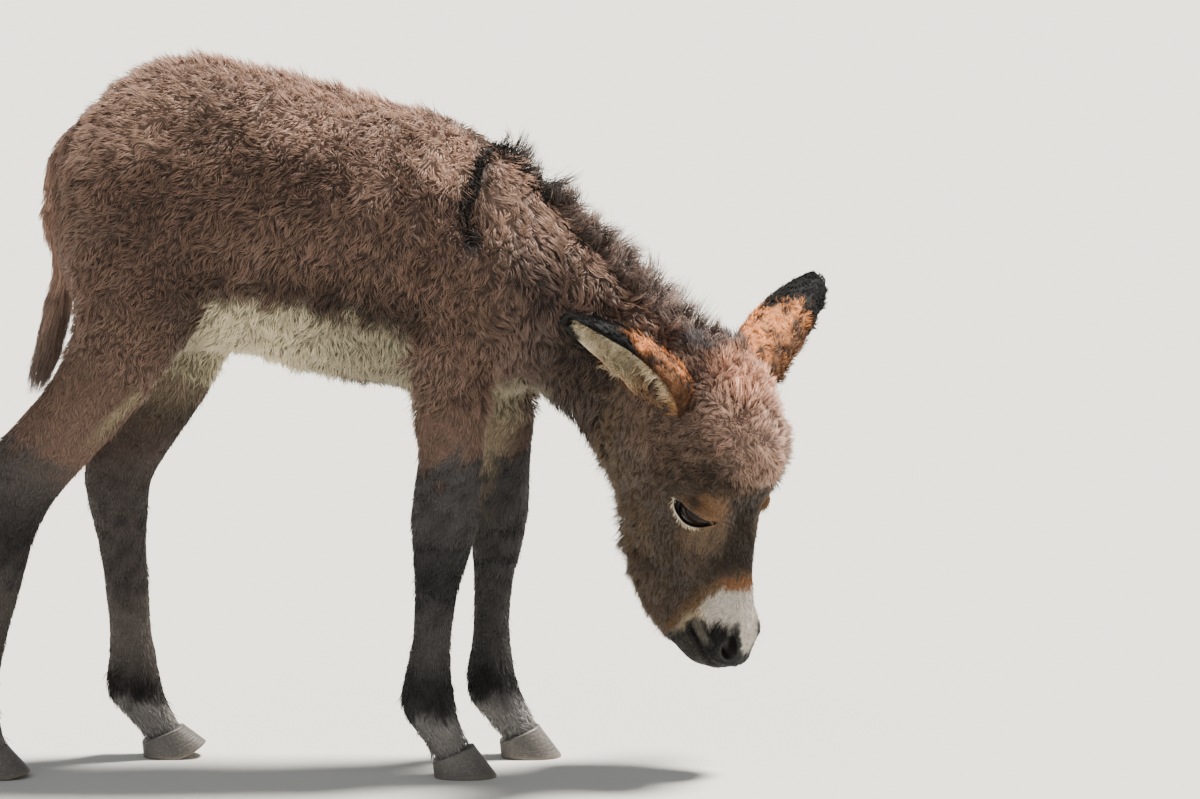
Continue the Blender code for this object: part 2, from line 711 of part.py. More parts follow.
def ear_shell(side):
    """The ear's open, cupped blade, rolled into a tube at its root."""
    frame = head_frame()
    root = Vector((side * EAR_ASIDE, EAR_BACK, EAR_ALONG))
    axis = mirrored(EAR_AXIS, side).normalized()
    mouth = mirrored(EAR_MOUTH, side)
    mouth = (mouth - axis * mouth.dot(axis)).normalized()
    across = axis.cross(mouth)
    shape = bmesh.new()
    grid = []
    for i in range(EAR_ROWS):
        v = i / (EAR_ROWS - 1)
        half_width, curl = ear_profile(v)
        radius = half_width / math.sin(min(curl, math.pi / 2))
        bow = EAR_BOW * math.sin(math.pi * v) - EAR_TIP_BEND * v**2
        row = []
        for j in range(EAR_COLUMNS):
            angle = curl * (2 * j / (EAR_COLUMNS - 1) - 1)
            place = root + axis * EAR_LENGTH * v - mouth * bow
            place += across * radius * math.sin(angle)
            place += mouth * radius * (1 - math.cos(angle))
            row.append(shape.verts.new(frame @ place))
        grid.append(row)
    for low, high in zip(grid, grid[1:]):
        for j in range(EAR_COLUMNS - 1):
            shape.faces.new((low[j], low[j + 1], high[j + 1], high[j]))
    mesh = bpy.data.meshes.new("ear_blade")
    shape.to_mesh(mesh)
    shape.free()
    return mesh


def build_ear(side, name, grown_flesh, parts, cutters):
    """The ear's blade with its thickness and the bulb at its root, cut off at the head."""
    ear = new_object(name, ear_shell(side), parts)
    wall = ear.modifiers.new("wall", "SOLIDIFY")
    wall.thickness = EAR_WALL
    wall.offset = 0.0
    wall.use_even_offset = False
    baked(ear)
    frame = head_frame()
    bulb_centre = frame @ Vector((side * (EAR_ASIDE + 0.010), EAR_BACK, EAR_ALONG - 0.006))
    bulb_mesh = ellipsoid("bulb", bulb_centre, (EAR_BULB,) * 3, segments=12)
    bulb = new_cutter(name + "_bulb", bulb_mesh, cutters)
    add_boolean(ear, bulb, "UNION")
    add_boolean(ear, grown_flesh)
    baked(ear)
    keep_largest(ear)
    ear.data.materials.append(bpy.data.materials["ear_fur"])
    return ear


def keep_largest(obj):
    """Drops crumbs that a cut has left beside the piece."""
    pieces = loose_pieces(obj)
    obj.data = max(pieces, key=lambda m: len(m.vertices))
    obj.data.materials.clear()


def hoof_mesh(name, side, toe, sole, lift):
    """Rings from the sole to the coronet, with a flat sole that may curl up at the toe."""
    front, heel = coronet(side, toe, sole)
    ground_centre, top_centre = toe - sole / 2, (front.x + heel.x) / 2
    ground_half, top_half = sole / 2, (front.x - heel.x) / 2
    rings = []
    for level in (0.0, 0.12, 0.5, 0.88, 1.0):
        swell = 0.96 if level == 0.0 else 1.0  # the rim of the sole is rounded
        centre = ground_centre + (top_centre - ground_centre) * level
        length = (ground_half + (top_half - ground_half) * level) * swell
        width = (HOOF_HALF_WIDTH + (CORONET_HALF_WIDTH - HOOF_HALF_WIDTH) * level) * swell
        ring = []
        for i in range(HOOF_POINTS):
            angle = 2 * math.pi * i / HOOF_POINTS
            fore, across = superellipse(angle, 2.3)
            fore = max(fore, -0.92)  # the heels are cut straight
            share = (fore + 1) / 2
            height = heel.z + (front.z - heel.z) * share
            curl = lift * max(0.0, (share - 0.55) / 0.45) ** 1.6 * (1 - level)
            ring.append(Vector((centre + fore * length, side + across * width, height * level + curl)))
        rings.append(ring)
    mesh = loft(name, rings)
    middle_of_sole = mesh.vertices[len(rings) * HOOF_POINTS]
    middle_of_sole.co = (ground_centre - ground_half * 0.2, side, 0)  # on the flat, behind the curl
    return mesh


# ---------------------------------------------------------------- run
def make_materials():
    new_material("body_coat", COAT_BROWN, 0.85)
    new_material("leg_coat", LEG_BROWN, 0.85)
    new_material("mane_coat", MANE_BLACK, 0.85)
    new_material("hoof_horn", HORN_GREY, 0.55)
    new_material("eye_wet", EYE_BLACK, 0.06)
    new_material("ear_fur", EAR_RUST, 0.85)


def grown_copy(flesh, cutters):
    """The flesh grown by the gap, which trims what grows from it."""
    grown = new_cutter("grown_flesh", flesh.data.copy(), cutters)
    swell = grown.modifiers.new("swell", "DISPLACE")
    swell.strength = GAP
    swell.mid_level = 0.0
    return baked(grown)


def build_trimmed(name, mesh, material, grown_flesh, parts):
    piece = thinned(new_object(name, mesh, parts), HAIR_TRIANGLES)
    add_boolean(piece, grown_flesh)
    baked(piece)
    keep_largest(piece)
    piece.data.materials.append(bpy.data.materials[material])
    return piece


def settle(parts):
    """Moves all pieces so that the origin lies on the floor below the middle of the box."""
    corners = [v.co for obj in parts.objects for v in obj.data.vertices]
    low, high = Vector(map(min, *corners)), Vector(map(max, *corners))
    shift = Vector((-(low.x + high.x) / 2, -(low.y + high.y) / 2, -low.z))
    for obj in parts.objects:
        obj.data.transform(Matrix.Translation(shift))
        obj.data.shade_smooth()


def main():
    clear_scene()
    make_materials()
    parts, cutters = new_collection("donkey_foal"), new_collection("cutters")
    flesh = fused_flesh(parts)
    grown = grown_copy(flesh, cutters)
    build_trimmed("tail", tail_mesh(), "mane_coat", grown, parts)
    build_trimmed("mane", mane_mesh(), "mane_coat", grown, parts)
    for side, word in ((1, "left"), (-1, "right")):
        build_ear(side, "ear_" + word, grown, parts, cutters)
    part_flesh(flesh, cutters, parts)
    for name, (side, toe, sole, lift) in HOOVES.items():
        new_object(name, hoof_mesh(name, side, toe, sole, lift), parts, bpy.data.materials["hoof_horn"])
    for side, word in ((1, "left"), (-1, "right")):
        new_object("eye_" + word, eye_mesh(side), parts, bpy.data.materials["eye_wet"])
    settle(parts)


main()
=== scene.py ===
"""A brown donkey foal, a few weeks old, standing with its head lowered and turned aside.

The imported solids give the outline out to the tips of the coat.  One skin is fused from
them and drawn in by the depth of the coat, the head is sculpted in it, and tufts of hair
are set over it along the lie of the coat.  Metres; +X towards the chest, +Y to the
animal's left, +Z up.
"""

import contextlib
import math

import bmesh
import bpy
import numpy as np
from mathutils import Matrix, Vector
from mathutils.bvhtree import BVHTree
from mathutils.kdtree import KDTree


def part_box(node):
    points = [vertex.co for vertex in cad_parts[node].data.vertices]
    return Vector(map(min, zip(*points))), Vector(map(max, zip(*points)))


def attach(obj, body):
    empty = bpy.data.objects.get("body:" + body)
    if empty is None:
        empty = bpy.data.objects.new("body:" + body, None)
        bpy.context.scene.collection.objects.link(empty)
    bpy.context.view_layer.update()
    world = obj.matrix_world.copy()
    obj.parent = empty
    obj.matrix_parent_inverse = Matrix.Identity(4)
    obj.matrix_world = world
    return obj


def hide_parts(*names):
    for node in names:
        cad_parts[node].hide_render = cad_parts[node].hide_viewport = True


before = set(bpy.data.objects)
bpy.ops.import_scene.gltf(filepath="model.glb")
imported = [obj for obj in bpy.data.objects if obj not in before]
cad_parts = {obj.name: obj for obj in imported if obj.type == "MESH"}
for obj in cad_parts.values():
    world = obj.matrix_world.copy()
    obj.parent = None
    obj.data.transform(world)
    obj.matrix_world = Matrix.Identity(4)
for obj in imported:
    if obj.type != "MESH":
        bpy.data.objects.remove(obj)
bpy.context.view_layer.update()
RANDOM = np.random.default_rng(20240611)

# ---------------------------------------------------------------- driving values
LEGS = ("fore_leg_right", "fore_leg_left", "hind_leg_right", "hind_leg_left")
HOOVES = ("hoof_fore_right", "hoof_fore_left", "hoof_hind_right", "hoof_hind_left")
FLESH = ("trunk", "neck", "head", *LEGS)
SIDES = (("left", 1), ("right", -1))

SKIN_VOXEL = 0.0062  # grid of the fused skin on the body
SWELL = 0.0004  # the solids grow by this before they are fused, which closes their gaps

# The head's own space: x to the animal's left, y towards the nose line, z down the face.
HEAD_LEAN = math.radians(2.5)
EYE_ALONG = 0.161  # from the poll, down the face
EYE_FORWARD = 0.017  # from the head's long axis, towards the nose line

EYE_RADIUS = (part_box("eye_left")[1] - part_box("eye_left")[0])[2] / 2
LID_THICKNESS = 0.0024
SLIT_HALF = 0.0265  # half the length of the eye's opening
LOWER_LID_BOW = 0.0166
UPPER_LID_BOW = 0.0028

NOSTRIL = (0.0222, 0.0365, 0.3195)  # its middle, in the head's space
NOSTRIL_SIZE = 0.0165  # from its middle to its end, down it
NOSTRIL_CREASE = np.array(  # down the nostril, aside from it
    ((-0.031, 0.0070), (-0.021, 0.0146), (-0.010, 0.0186), (0.001, 0.0180))
)
MOUTH = np.array(  # forward, down the face: from the corner to the front
    ((-0.006, 0.289), (0.000, 0.302), (0.0055, 0.311), (0.008, 0.322), (0.012, 0.334), (0.020, 0.342))
)

EAR_LENGTH = 0.203
EAR_ROOT = (0.036, 0.006, 0.024)  # in the head's space
EAR_GRISTLE = 0.0030  # its thickness

PASTERN_WAY = np.array((0.48, 0.0, -0.88))  # down the slope of a pastern
INTO_HOOF = 0.008  # how far the skin's foot reaches into the horn


def srgb(red, green, blue):
    """A colour given in screen values of 0 to 255, as linear light."""
    value = np.array((red, green, blue)) / 255
    return np.where(value <= 0.04045, value / 12.92, ((value + 0.055) / 1.055) ** 2.4)


# ---------------------------------------------------------------- colours
BROWN = srgb(114, 92, 81)
# the brown where sunlight is painted on the back and neck
BROWN_SUNLIT = srgb(196, 164, 146)
BROWN_DARK = srgb(60, 47, 40)
SHADED_BROWN = srgb(42, 33, 26)
CREAM = srgb(208, 200, 170)
CROSS = srgb(24, 20, 19)
NECK_GREY = srgb(88, 77, 74)
MANE_BROWN = srgb(118, 102, 95)
TAIL_DARK = srgb(80, 68, 62)
CHARCOAL = srgb(66, 65, 66)
CHARCOAL_DARK = srgb(20, 20, 22)
SHANK_GREY = srgb(104, 97, 93)
PASTERN_GREY = srgb(150, 146, 144)
INNER_THIGH = srgb(160, 146, 124)
THIGH_TAN = srgb(150, 138, 112)
TOPKNOT = srgb(46, 42, 44)
POLL_RUST = srgb(152, 104, 76)
FOREHEAD_SUNLIT = srgb(200, 167, 150)
CHEEK = srgb(76, 64, 54)
JAW_TAN = srgb(104, 88, 70)
EYE_CORNER_OCHRE = srgb(122, 90, 60)
UNDER_EYE_TAN = srgb(122, 102, 78)
BRIDGE = srgb(38, 30, 22)
BAND_OCHRE = srgb(118, 90, 58)
ORANGE = srgb(138, 92, 56)
WHITE = srgb(196, 190, 182)
WHITE_SHADED = srgb(178, 162, 134)
NOSE_GREY = srgb(8, 8, 8)
NOSE_PALE = srgb(84, 81, 79)
EYE_RIM_CREAM = srgb(226, 216, 190)
RIM_AND_HOLLOW_BLACK = srgb(22, 18, 17)
RUST = srgb(220, 146, 92)
EAR_STREAK = srgb(52, 36, 30)
EAR_BLACK = srgb(5, 5, 5)
EAR_CREAM = srgb(194, 182, 156)
EAR_FOOT_TAN = srgb(172, 132, 84)
EAR_HOLLOW_SHADE = srgb(66, 55, 48)
BRISTLE_DARK = srgb(24, 19, 17)
IRIS_DARK = srgb(16, 10, 8)
IRIS_BROWN = srgb(30, 19, 13)
IRIS_RIM = srgb(14, 11, 10)
EYE_OUTER = srgb(18, 14, 12)
PUPIL = srgb(8, 7, 9)
HORN_DARK = srgb(70, 67, 65)
HORN_PALE = srgb(112, 108, 104)
HORN_RING = srgb(150, 140, 132)
HORN_WORN = srgb(134, 124, 110)
HORN_DUST = srgb(138, 128, 112)
FLOOR_DARK = srgb(205, 204, 198)
FLOOR_PALE = srgb(213, 212, 207)


# ---------------------------------------------------------------- places
def corners(node):
    low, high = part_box(node)
    return np.array(low), np.array(high)


def middle(node):
    low, high = corners(node)
    return (low + high) / 2


def head_axes():
    """(poll, 3x3 matrix whose columns are the head's left, nose line and down)."""
    left = middle("eye_left") - middle("eye_right")
    left /= np.linalg.norm(left)
    down = np.array((math.sin(HEAD_LEAN), 0, -math.cos(HEAD_LEAN)))
    nose = np.cross(down, left)
    nose /= np.linalg.norm(nose)
    down = np.cross(left, nose)
    between_eyes = (middle("eye_right") + middle("eye_left")) / 2
    return between_eyes - nose * EYE_FORWARD - down * EYE_ALONG, np.stack((left, nose, down), 1)


POLL, HEAD_TURN = head_axes()


def to_head(points):
    """(aside, forward, along) of points, in the head's own space."""
    return (np.asarray(points) - POLL) @ HEAD_TURN


def from_head(places):
    return np.asarray(places) @ HEAD_TURN.T + POLL


def smoothstep(low, high, value):
    """A smooth rise from 0 at the low value to 1 at the high one, or a fall if low is above high."""
    share = np.clip((value - low) / (high - low), 0, 1)
    return share * share * (3 - 2 * share)


def bump_at(value, centre, reach):
    """1 at the centre, fading smoothly to 0 at the reach on either side."""
    return 1 - smoothstep(0, reach, np.abs(value - centre))


def unit(vectors):
    return vectors / np.maximum(np.linalg.norm(vectors, axis=-1, keepdims=True), 1e-9)


def drift(places, size, seed):
    """Smooth values round 0, mostly within 1, that change over the given size."""
    draws = np.random.default_rng(seed)
    waves = draws.normal(0, 0.7 * 2 * math.pi / size, (7, 3))
    return np.sin(places @ waves.T + draws.uniform(0, 2 * math.pi, 7)).sum(1) / 2.2


def line_gap(spots, line):
    """Distance of flat places from a line through several points."""
    gaps = []
    for start, end in zip(line[:-1], line[1:]):
        run = end - start
        share = np.clip(((spots - start) @ run) / run.dot(run), 0, 1)
        gaps.append(np.linalg.norm(spots - start - share[:, None] * run, axis=1))
    return np.min(gaps, 0)


# ---------------------------------------------------------------- meshes
def read(holders, key, width, kind=np.float32):
    """A property of every item of a mesh's collection, one row to an item."""
    values = np.empty(len(holders) * width, kind)
    holders.foreach_get(key, values)
    return values.reshape(-1, width)


def write(holders, key, values, kind=np.float32):
    holders.foreach_set(key, np.asarray(values, kind).ravel())


def vertex_places(mesh):
    return read(mesh.vertices, "co", 3).astype(float)


def vertex_normals(mesh):
    return read(mesh.vertex_normals, "vector", 3).astype(float)


def set_places(mesh, places):
    write(mesh.vertices, "co", places)
    mesh.update()


def show(name, data):
    """An object of the scene with this mesh, light or camera."""
    made = bpy.data.objects.new(name, data)
    bpy.context.scene.collection.objects.link(made)
    return made


def finished_piece(name, mesh, material, slot, *stands_for):
    """Shows a mesh as a piece on the root and hides the nodes that it replaces; the slot is not used."""
    mesh.materials.append(material)
    piece = show(name, mesh)
    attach(piece, "root")
    if stands_for:
        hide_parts(*stands_for)


def baked_mesh(obj):
    """A plain mesh of the object with its modifiers applied; the object goes."""
    bpy.context.view_layer.update()
    graph = bpy.context.evaluated_depsgraph_get()
    mesh = bpy.data.meshes.new_from_object(obj.evaluated_get(graph))
    bpy.data.objects.remove(obj)
    return mesh


def mesh_from_arrays(name, places, triangles, quads=None):
    """A mesh from arrays of corners, made at once."""
    mesh = bpy.data.meshes.new(name)
    quads = np.empty((0, 4), int) if quads is None else quads
    corners_of_faces = np.concatenate((quads.ravel(), triangles.ravel()))
    sizes = np.concatenate((np.full(len(quads), 4), np.full(len(triangles), 3)))
    mesh.vertices.add(len(places))
    write(mesh.vertices, "co", places)
    mesh.loops.add(len(corners_of_faces))
    write(mesh.loops, "vertex_index", corners_of_faces, np.int32)
    mesh.polygons.add(len(sizes))
    write(mesh.polygons, "loop_start", np.concatenate(((0,), np.cumsum(sizes)[:-1])), np.int32)
    mesh.update(calc_edges=True)
    mesh.shade_smooth()
    return mesh


@contextlib.contextmanager
def edited(mesh):
    """A bmesh of the mesh, which is written back to it in the end."""
    shape = bmesh.new()
    shape.from_mesh(mesh)
    yield shape
    shape.to_mesh(mesh)
    shape.free()


def outward(mesh):
    """Turns all faces of a closed mesh outwards."""
    with edited(mesh) as shape:
        bmesh.ops.recalc_face_normals(shape, faces=shape.faces)
    mesh.shade_smooth()


def quads_of(grid, beside):
    """Faces between the rows of a grid of indices and the columns beside them."""
    return np.stack((grid[:-1], beside[:-1], beside[1:], grid[1:]), -1).reshape(-1, 4)


def closed_rings(name, rings, first, last):
    """A closed mesh round rings (row, column, place), drawn to one point at either end."""
    rows, columns, _ = rings.shape
    count = rows * columns
    grid = np.arange(count).reshape(rows, columns)
    beside = np.roll(grid, -1, 1)
    caps = np.concatenate((
        np.column_stack((np.full(columns, count), beside[0], grid[0])),
        np.column_stack((np.full(columns, count + 1), grid[-1], beside[-1])),
    ))
    places = np.concatenate((rings.reshape(-1, 3), (first, last)))
    mesh = mesh_from_arrays(name, places, caps, quads_of(grid, beside))
    outward(mesh)
    return mesh


def round_turn(columns):
    """Angles of evenly spaced columns, once round."""
    return np.arange(columns) / columns * 2 * math.pi


def level_way(angle):
    """Level directions at the angles."""
    return np.column_stack((np.cos(angle), np.sin(angle), 0 * angle))


def paint(mesh, name, colour):
    """Keeps a colour or three masks at every vertex."""
    layer = mesh.attributes.new(name, "FLOAT_COLOR", "POINT")
    write(layer.data, "color", np.column_stack((colour, np.ones(len(colour)))))


def welded(node, growth=0.0):
    """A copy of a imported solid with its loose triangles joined, grown along its normals."""
    mesh = bpy.data.meshes.new(node + "_copy")
    with edited(mesh) as shape:
        shape.from_mesh(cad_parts[node].data)
        bmesh.ops.remove_doubles(shape, verts=shape.verts, dist=1e-5)
        shape.normal_update()
        for vertex in shape.verts:
            vertex.co += vertex.normal * growth
    return mesh


# ---------------------------------------------------------------- depth of the coat
def coat_depth(lie):
    """How far the skin lies inside the tips of the coat, from the hair's length and lift."""
    return 0.80 * lie[:, 3] * np.sin(lie[:, 4])


def nearest_parts(points):
    """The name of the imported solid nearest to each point."""
    held = [(vertex.co, name) for name in (*FLESH, "tail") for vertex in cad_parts[name].data.vertices]
    tree = KDTree(len(held))
    for index, (place, _) in enumerate(held):
        tree.insert(place, index)
    tree.balance()
    names = np.array([name for _, name in held])
    return names[[tree.find(point)[1] for point in points]]


# ---------------------------------------------------------------- the skin
def soften(obj, passes, group=""):
    """Adds a modifier that evens out the object's surface, within a group of vertices if named."""
    step = obj.modifiers.new("soften", "SMOOTH")
    step.factor = 0.5
    step.iterations = passes
    step.vertex_group = group


def fused_flesh():
    """All solids of flesh as one closed mesh, at the tips of the coat, with the tail's dock."""
    joined = bpy.data.meshes.new("skin")
    with edited(joined) as shape:
        for name in (*FLESH, "eye_right", "eye_left"):
            shape.from_mesh(welded(name, SWELL))
        shape.from_mesh(dock_tube())
    body = show("skin_in_making", joined)
    fuse = body.modifiers.new("fuse", "REMESH")
    fuse.mode = "VOXEL"
    fuse.voxel_size = SKIN_VOXEL
    soften(body, 4)
    return baked_mesh(body)


def refined(mesh, chosen):
    """The mesh with every edge between chosen vertices halved."""
    with edited(mesh) as shape:
        shape.verts.ensure_lookup_table()
        wanted = chosen(np.array([v.co for v in shape.verts]))
        edges = [e for e in shape.edges if wanted[e.verts[0].index] and wanted[e.verts[1].index]]
        bmesh.ops.subdivide_edges(shape, edges=edges, cuts=1, use_grid_fill=True)
        bmesh.ops.triangulate(shape, faces=[f for f in shape.faces if len(f.verts) > 4])
    return mesh


def smoothed(mesh, chosen, passes):
    """Evens out the vertices that are chosen, by a weight from 0 to 1."""
    body = show("smoothing", mesh)
    group = body.vertex_groups.new(name="where")
    weights = chosen(vertex_places(mesh))
    for index in np.flatnonzero(weights > 0.01):
        group.add([int(index)], float(weights[index]), "REPLACE")
    soften(body, passes, "where")
    return baked_mesh(body)


def in_head(points):
    """Which points lie in front of the jaw's hind edge and below the poll."""
    aside, forward, along = to_head(points).T
    behind_jaw = forward + 0.13 - 0.35 * (0.12 - along).clip(0)
    return (along > 0.0) & (behind_jaw > 0) & (np.abs(aside) < 0.10) & (points[:, 2] < POLL[2])


def in_fine_places(points):
    """Round the eyes, and the muzzle in front of the mouth's corners."""
    aside, forward, along = to_head(points).T
    near_eye = np.hypot(forward - EYE_FORWARD, along - EYE_ALONG) < 0.034
    near_eye &= np.abs(aside) > 0.025
    muzzle = (along > 0.275) & (forward > -0.045)
    return in_head(points) & (near_eye | muzzle)


def in_finest_places(points):
    """The eyes' openings and the nostrils."""
    local = to_head(points)
    chosen = np.zeros(len(points), bool)
    for _, sign in SIDES:
        gap, _, _ = lid_distance(local, sign)
        chosen |= (gap < 0.0055) & (np.sign(local[:, 0]) == sign)
        chosen |= nostril_ring(local, sign)[0] < 1.9
    return in_head(points) & chosen


def eye_axes(sign):
    """In head space: the eye's middle, and its axes along the slit, up to the brow, and out."""
    centre = to_head(middle("eye_left" if sign > 0 else "eye_right")[None])[0]
    slit = unit(np.array((-sign * 0.36, 0.728, 0.583)))
    out = np.array((float(sign), 0.22, 0.12))
    out = unit(out - slit * out.dot(slit))
    up = np.cross(out, slit)
    return centre, slit, up * -np.sign(up[2]), out


def lid_edges(u):
    """Heights of the lower and the upper lid's edge along the slit, deepest towards the outer corner."""
    share = np.clip((u / SLIT_HALF + 1) / 2, 0, 1)
    lower = -LOWER_LID_BOW * np.sin(math.pi * share**0.72) ** 0.75
    upper = UPPER_LID_BOW * np.sin(math.pi * share)
    return lower, upper


def lid_opening(u, v):
    """How far inside the eye's opening a place lies, below 0 outside it."""
    lower, upper = lid_edges(u)
    inside = np.minimum(v - lower, upper - v)
    return np.where(np.abs(u) < SLIT_HALF, inside, -np.hypot(np.abs(u) - SLIT_HALF, v))


def lid_distance(local, sign):
    """(distance outside the eye's opening, place along it, place up from it) in the head's space."""
    centre, slit, up, out = eye_axes(sign)
    offset = local - centre
    u, v = offset @ slit, offset @ up
    return np.where(offset @ out > 0, -lid_opening(u, v), 1.0), u, v


def nostril_ring(local, sign):
    """(distance in nostril sizes, place down it, place aside from it, direction out)."""
    centre = np.array((sign * NOSTRIL[0], *NOSTRIL[1:]))
    out = unit(np.array((sign * 0.42, 0.85, 0.33)))
    down = np.array((-sign * 0.24, -0.33, 0.92))
    down = unit(down - out * down.dot(out))
    lateral = np.cross(out, down) * sign
    offset = local - centre
    u, v, height = offset @ down, offset @ lateral, offset @ out
    narrow = 0.0088 + 0.16 * np.clip(u, -0.015, 0.015)
    ring = np.hypot(u / NOSTRIL_SIZE, (v + 12 * u**2) / narrow)
    return np.where(np.abs(height) < 0.024, ring, 9.0), u, v, out


def wing_crease(u, v):
    """Nearness, 0 to 1, to the crease behind the nostril's wing."""
    gap = line_gap(np.column_stack((u, v)), NOSTRIL_CREASE)
    return smoothstep(0.0030, 0.0004, gap) * smoothstep(0.004, -0.008, u)


def sculpt_eye(places, sign):
    """Draws lids over the eyeball, with an opening between them, a brow above and a fold below."""
    centre, slit, up, out = eye_axes(sign)
    local = places - centre
    u, v, height = local @ slit, local @ up, local @ out
    reach = np.hypot(u, v)
    near = (height > 0) & (reach < 0.040)
    dome = np.sqrt(np.maximum((EYE_RADIUS + LID_THICKNESS) ** 2 - reach**2, 0))
    raised = height + (np.maximum(dome, height) - height) * smoothstep(0.036, 0.016, reach)
    lids = raised + (dome - raised) * smoothstep(0.0225, 0.015, reach)
    lower, upper = lid_edges(u)
    middle_part = smoothstep(0.030, 0.014, np.abs(u))
    lids += 0.0022 * bump_at(v - upper, 0.0050, 0.0060) * middle_part
    lids -= 0.0016 * bump_at(v - upper, 0.0125, 0.0032) * middle_part
    lids -= 0.0014 * bump_at(v - lower, -0.0085, 0.0030) * middle_part
    inside = lid_opening(u, v)
    eyeball = np.sqrt(np.maximum(EYE_RADIUS**2 - reach**2, 0))
    sunk = np.maximum(eyeball, lids) - 0.0055
    opened = lids + (sunk - lids) * smoothstep(-0.0004, 0.0007, inside)
    moved = places + out * (opened - height)[:, None]
    return np.where(near[:, None], moved, places)


def sculpt_nostril(places, sign):
    """A long curved hollow with a raised wing, and the crease behind the wing."""
    ring, u, v, out = nostril_ring(places, sign)
    near = ring < 8
    hollow = 0.0125 * smoothstep(1.10, 0.35, ring)
    wing = 0.0026 * bump_at(ring, 1.60, 0.85)
    crease = 0.0030 * wing_crease(u, v)
    return places + out * np.where(near, wing - hollow - crease, 0)[:, None]


def sculpt_mouth(places):
    """The line between the lips, with full lips on either side of it."""
    gap = line_gap(places[:, 1:], MOUTH)
    lips = 0.0016 * bump_at(gap, 0.0065, 0.0050) - 0.0042 * smoothstep(0.0042, 0.0006, gap)
    outward = unit(places - np.array((0, 0.004, 0.300)))
    return places + outward * np.where(places[:, 2] > 0.28, lips, 0)[:, None]


def sculpt_face(places):
    """Bones and folds: cheek bone, the hollow above the eye, jaw muscle, groove of the upper lip."""
    aside, forward, along = places.T
    side = np.sign(aside) * smoothstep(0.012, 0.024, np.abs(aside))

    def mound(at_forward, at_along, wide, long):
        return np.exp(-(((forward - at_forward) / wide) ** 2) - ((along - at_along) / long) ** 2)

    cheek_bone = bump_at(forward, 0.004 - 0.10 * (along - 0.20), 0.011)
    cheek_bone = cheek_bone * smoothstep(0.178, 0.195, along) * smoothstep(0.268, 0.225, along)
    above_eye, before_cheek = mound(0.036, 0.126, 0.012, 0.016), mound(-0.030, 0.238, 0.020, 0.026)
    beside_bridge, jaw_muscle = mound(0.024, 0.232, 0.008, 0.016), mound(-0.060, 0.190, 0.030, 0.034)
    shift = 0.0034 * cheek_bone - 0.0030 * above_eye
    shift -= 0.0040 * before_cheek + 0.0022 * beside_bridge
    shift += 0.0026 * jaw_muscle
    lip_groove = bump_at(aside, 0, 0.0040) * smoothstep(0.296, 0.318, along) * (forward > 0)
    made = places.copy()
    made[:, 0] += side * shift
    made[:, 1] -= 0.0022 * lip_groove
    return made


def make_skin():
    """The skin: fused, drawn in by the coat's depth, refined at the head and carved there."""
    mesh = fused_flesh()
    places, normals = vertex_places(mesh), vertex_normals(mesh)
    part = nearest_parts(places)
    lie = spread_over(mesh, lie_of_coat(places, normals, part), LIE_PASSES)
    depth = np.where(part == "tail", 0.0, coat_depth(lie))
    places -= normals * depth[:, None]
    into_hoof = smoothstep(0.060, 0.036, places[:, 2]) * np.isin(part, LEGS)
    places += INTO_HOOF * into_hoof[:, None] * PASTERN_WAY
    set_places(mesh, places)
    mesh = smoothed(mesh, lambda at: np.ones(len(at)), 3)
    for chosen, passes in ((in_head, 6), (in_fine_places, 4)):
        mesh = refined(mesh, chosen)
        mesh = smoothed(mesh, lambda at, chosen=chosen: chosen(at).astype(float), passes)
    mesh = refined(mesh, in_finest_places)
    places = vertex_places(mesh)
    chosen = in_head(places)
    local = to_head(places[chosen])
    local = sculpt_mouth(sculpt_face(local))
    for _, sign in SIDES:
        local = sculpt_nostril(sculpt_eye(local, sign), sign)
    places[chosen] = from_head(local)
    set_places(mesh, places)
    mesh.shade_smooth()
    return mesh


# ---------------------------------------------------------------- markings, and painted light and shade
# Edges and lines of the markings, as pairs of rows: where, and the value there.
WHITE_EDGE = (
    (-0.045, -0.017, 0.002, 0.024, 0.0295, 0.045),  # forward
    (0.306, 0.2824, 0.2712, 0.2566, 0.2535, 0.2525),  # along
)
DARK_EDGE = (
    (-0.045, -0.021, -0.003, 0.015, 0.037, 0.045),  # forward
    (0.306, 0.2996, 0.2875, 0.287, 0.295, 0.300),  # along
)
BRIDGE_EDGE = (
    (0.140, 0.155, 0.172, 0.198, 0.214, 0.25),  # along
    (0.033, 0.024, 0.018, 0.0235, 0.030, 0.030),  # half width
)
CROWN_LIT_FROM = ((0.0, 0.05, 0.10, 0.14), (0.024, 0.036, 0.056, 0.060))  # along, forward
BELLY_EDGE = (
    (-0.26, -0.21, -0.17, -0.12, -0.08, -0.03, 0.013, 0.05),  # x
    (0.540, 0.530, 0.538, 0.534, 0.529, 0.519, 0.506, 0.497),  # z
)
BELLY_REAR = ((0.05, 0.08), (-0.30, -0.205))  # from the spine, x
BELLY_FRONT = ((0.05, 0.07), (0.075, 0.034))
CREST_LINE = (
    (-0.36, -0.30, -0.20, 0.0, 0.10, 0.16, 0.22, 0.30),  # x
    (0.72, 0.77, 0.79, 0.755, 0.715, 0.665, 0.605, 0.535),  # z
)
CROSS_LINE = (
    (0.597, 0.612, 0.642, 0.678, 0.708, 0.73),  # z
    (0.094, 0.089, 0.090, 0.102, 0.120, 0.130),  # x
)
CROSS_WIDTH = ((0.60, 0.68, 0.72), (0.008, 0.011, 0.017))  # z, half width
THIGH_FRONT = ((0.34, 0.366, 0.411, 0.4385, 0.517), (-0.352, -0.332, -0.293, -0.262, -0.200))  # z, x
FOREARM_REAR = ((0.245, 0.336, 0.380, 0.42), (0.106, 0.122, 0.148, 0.165))  # z, x
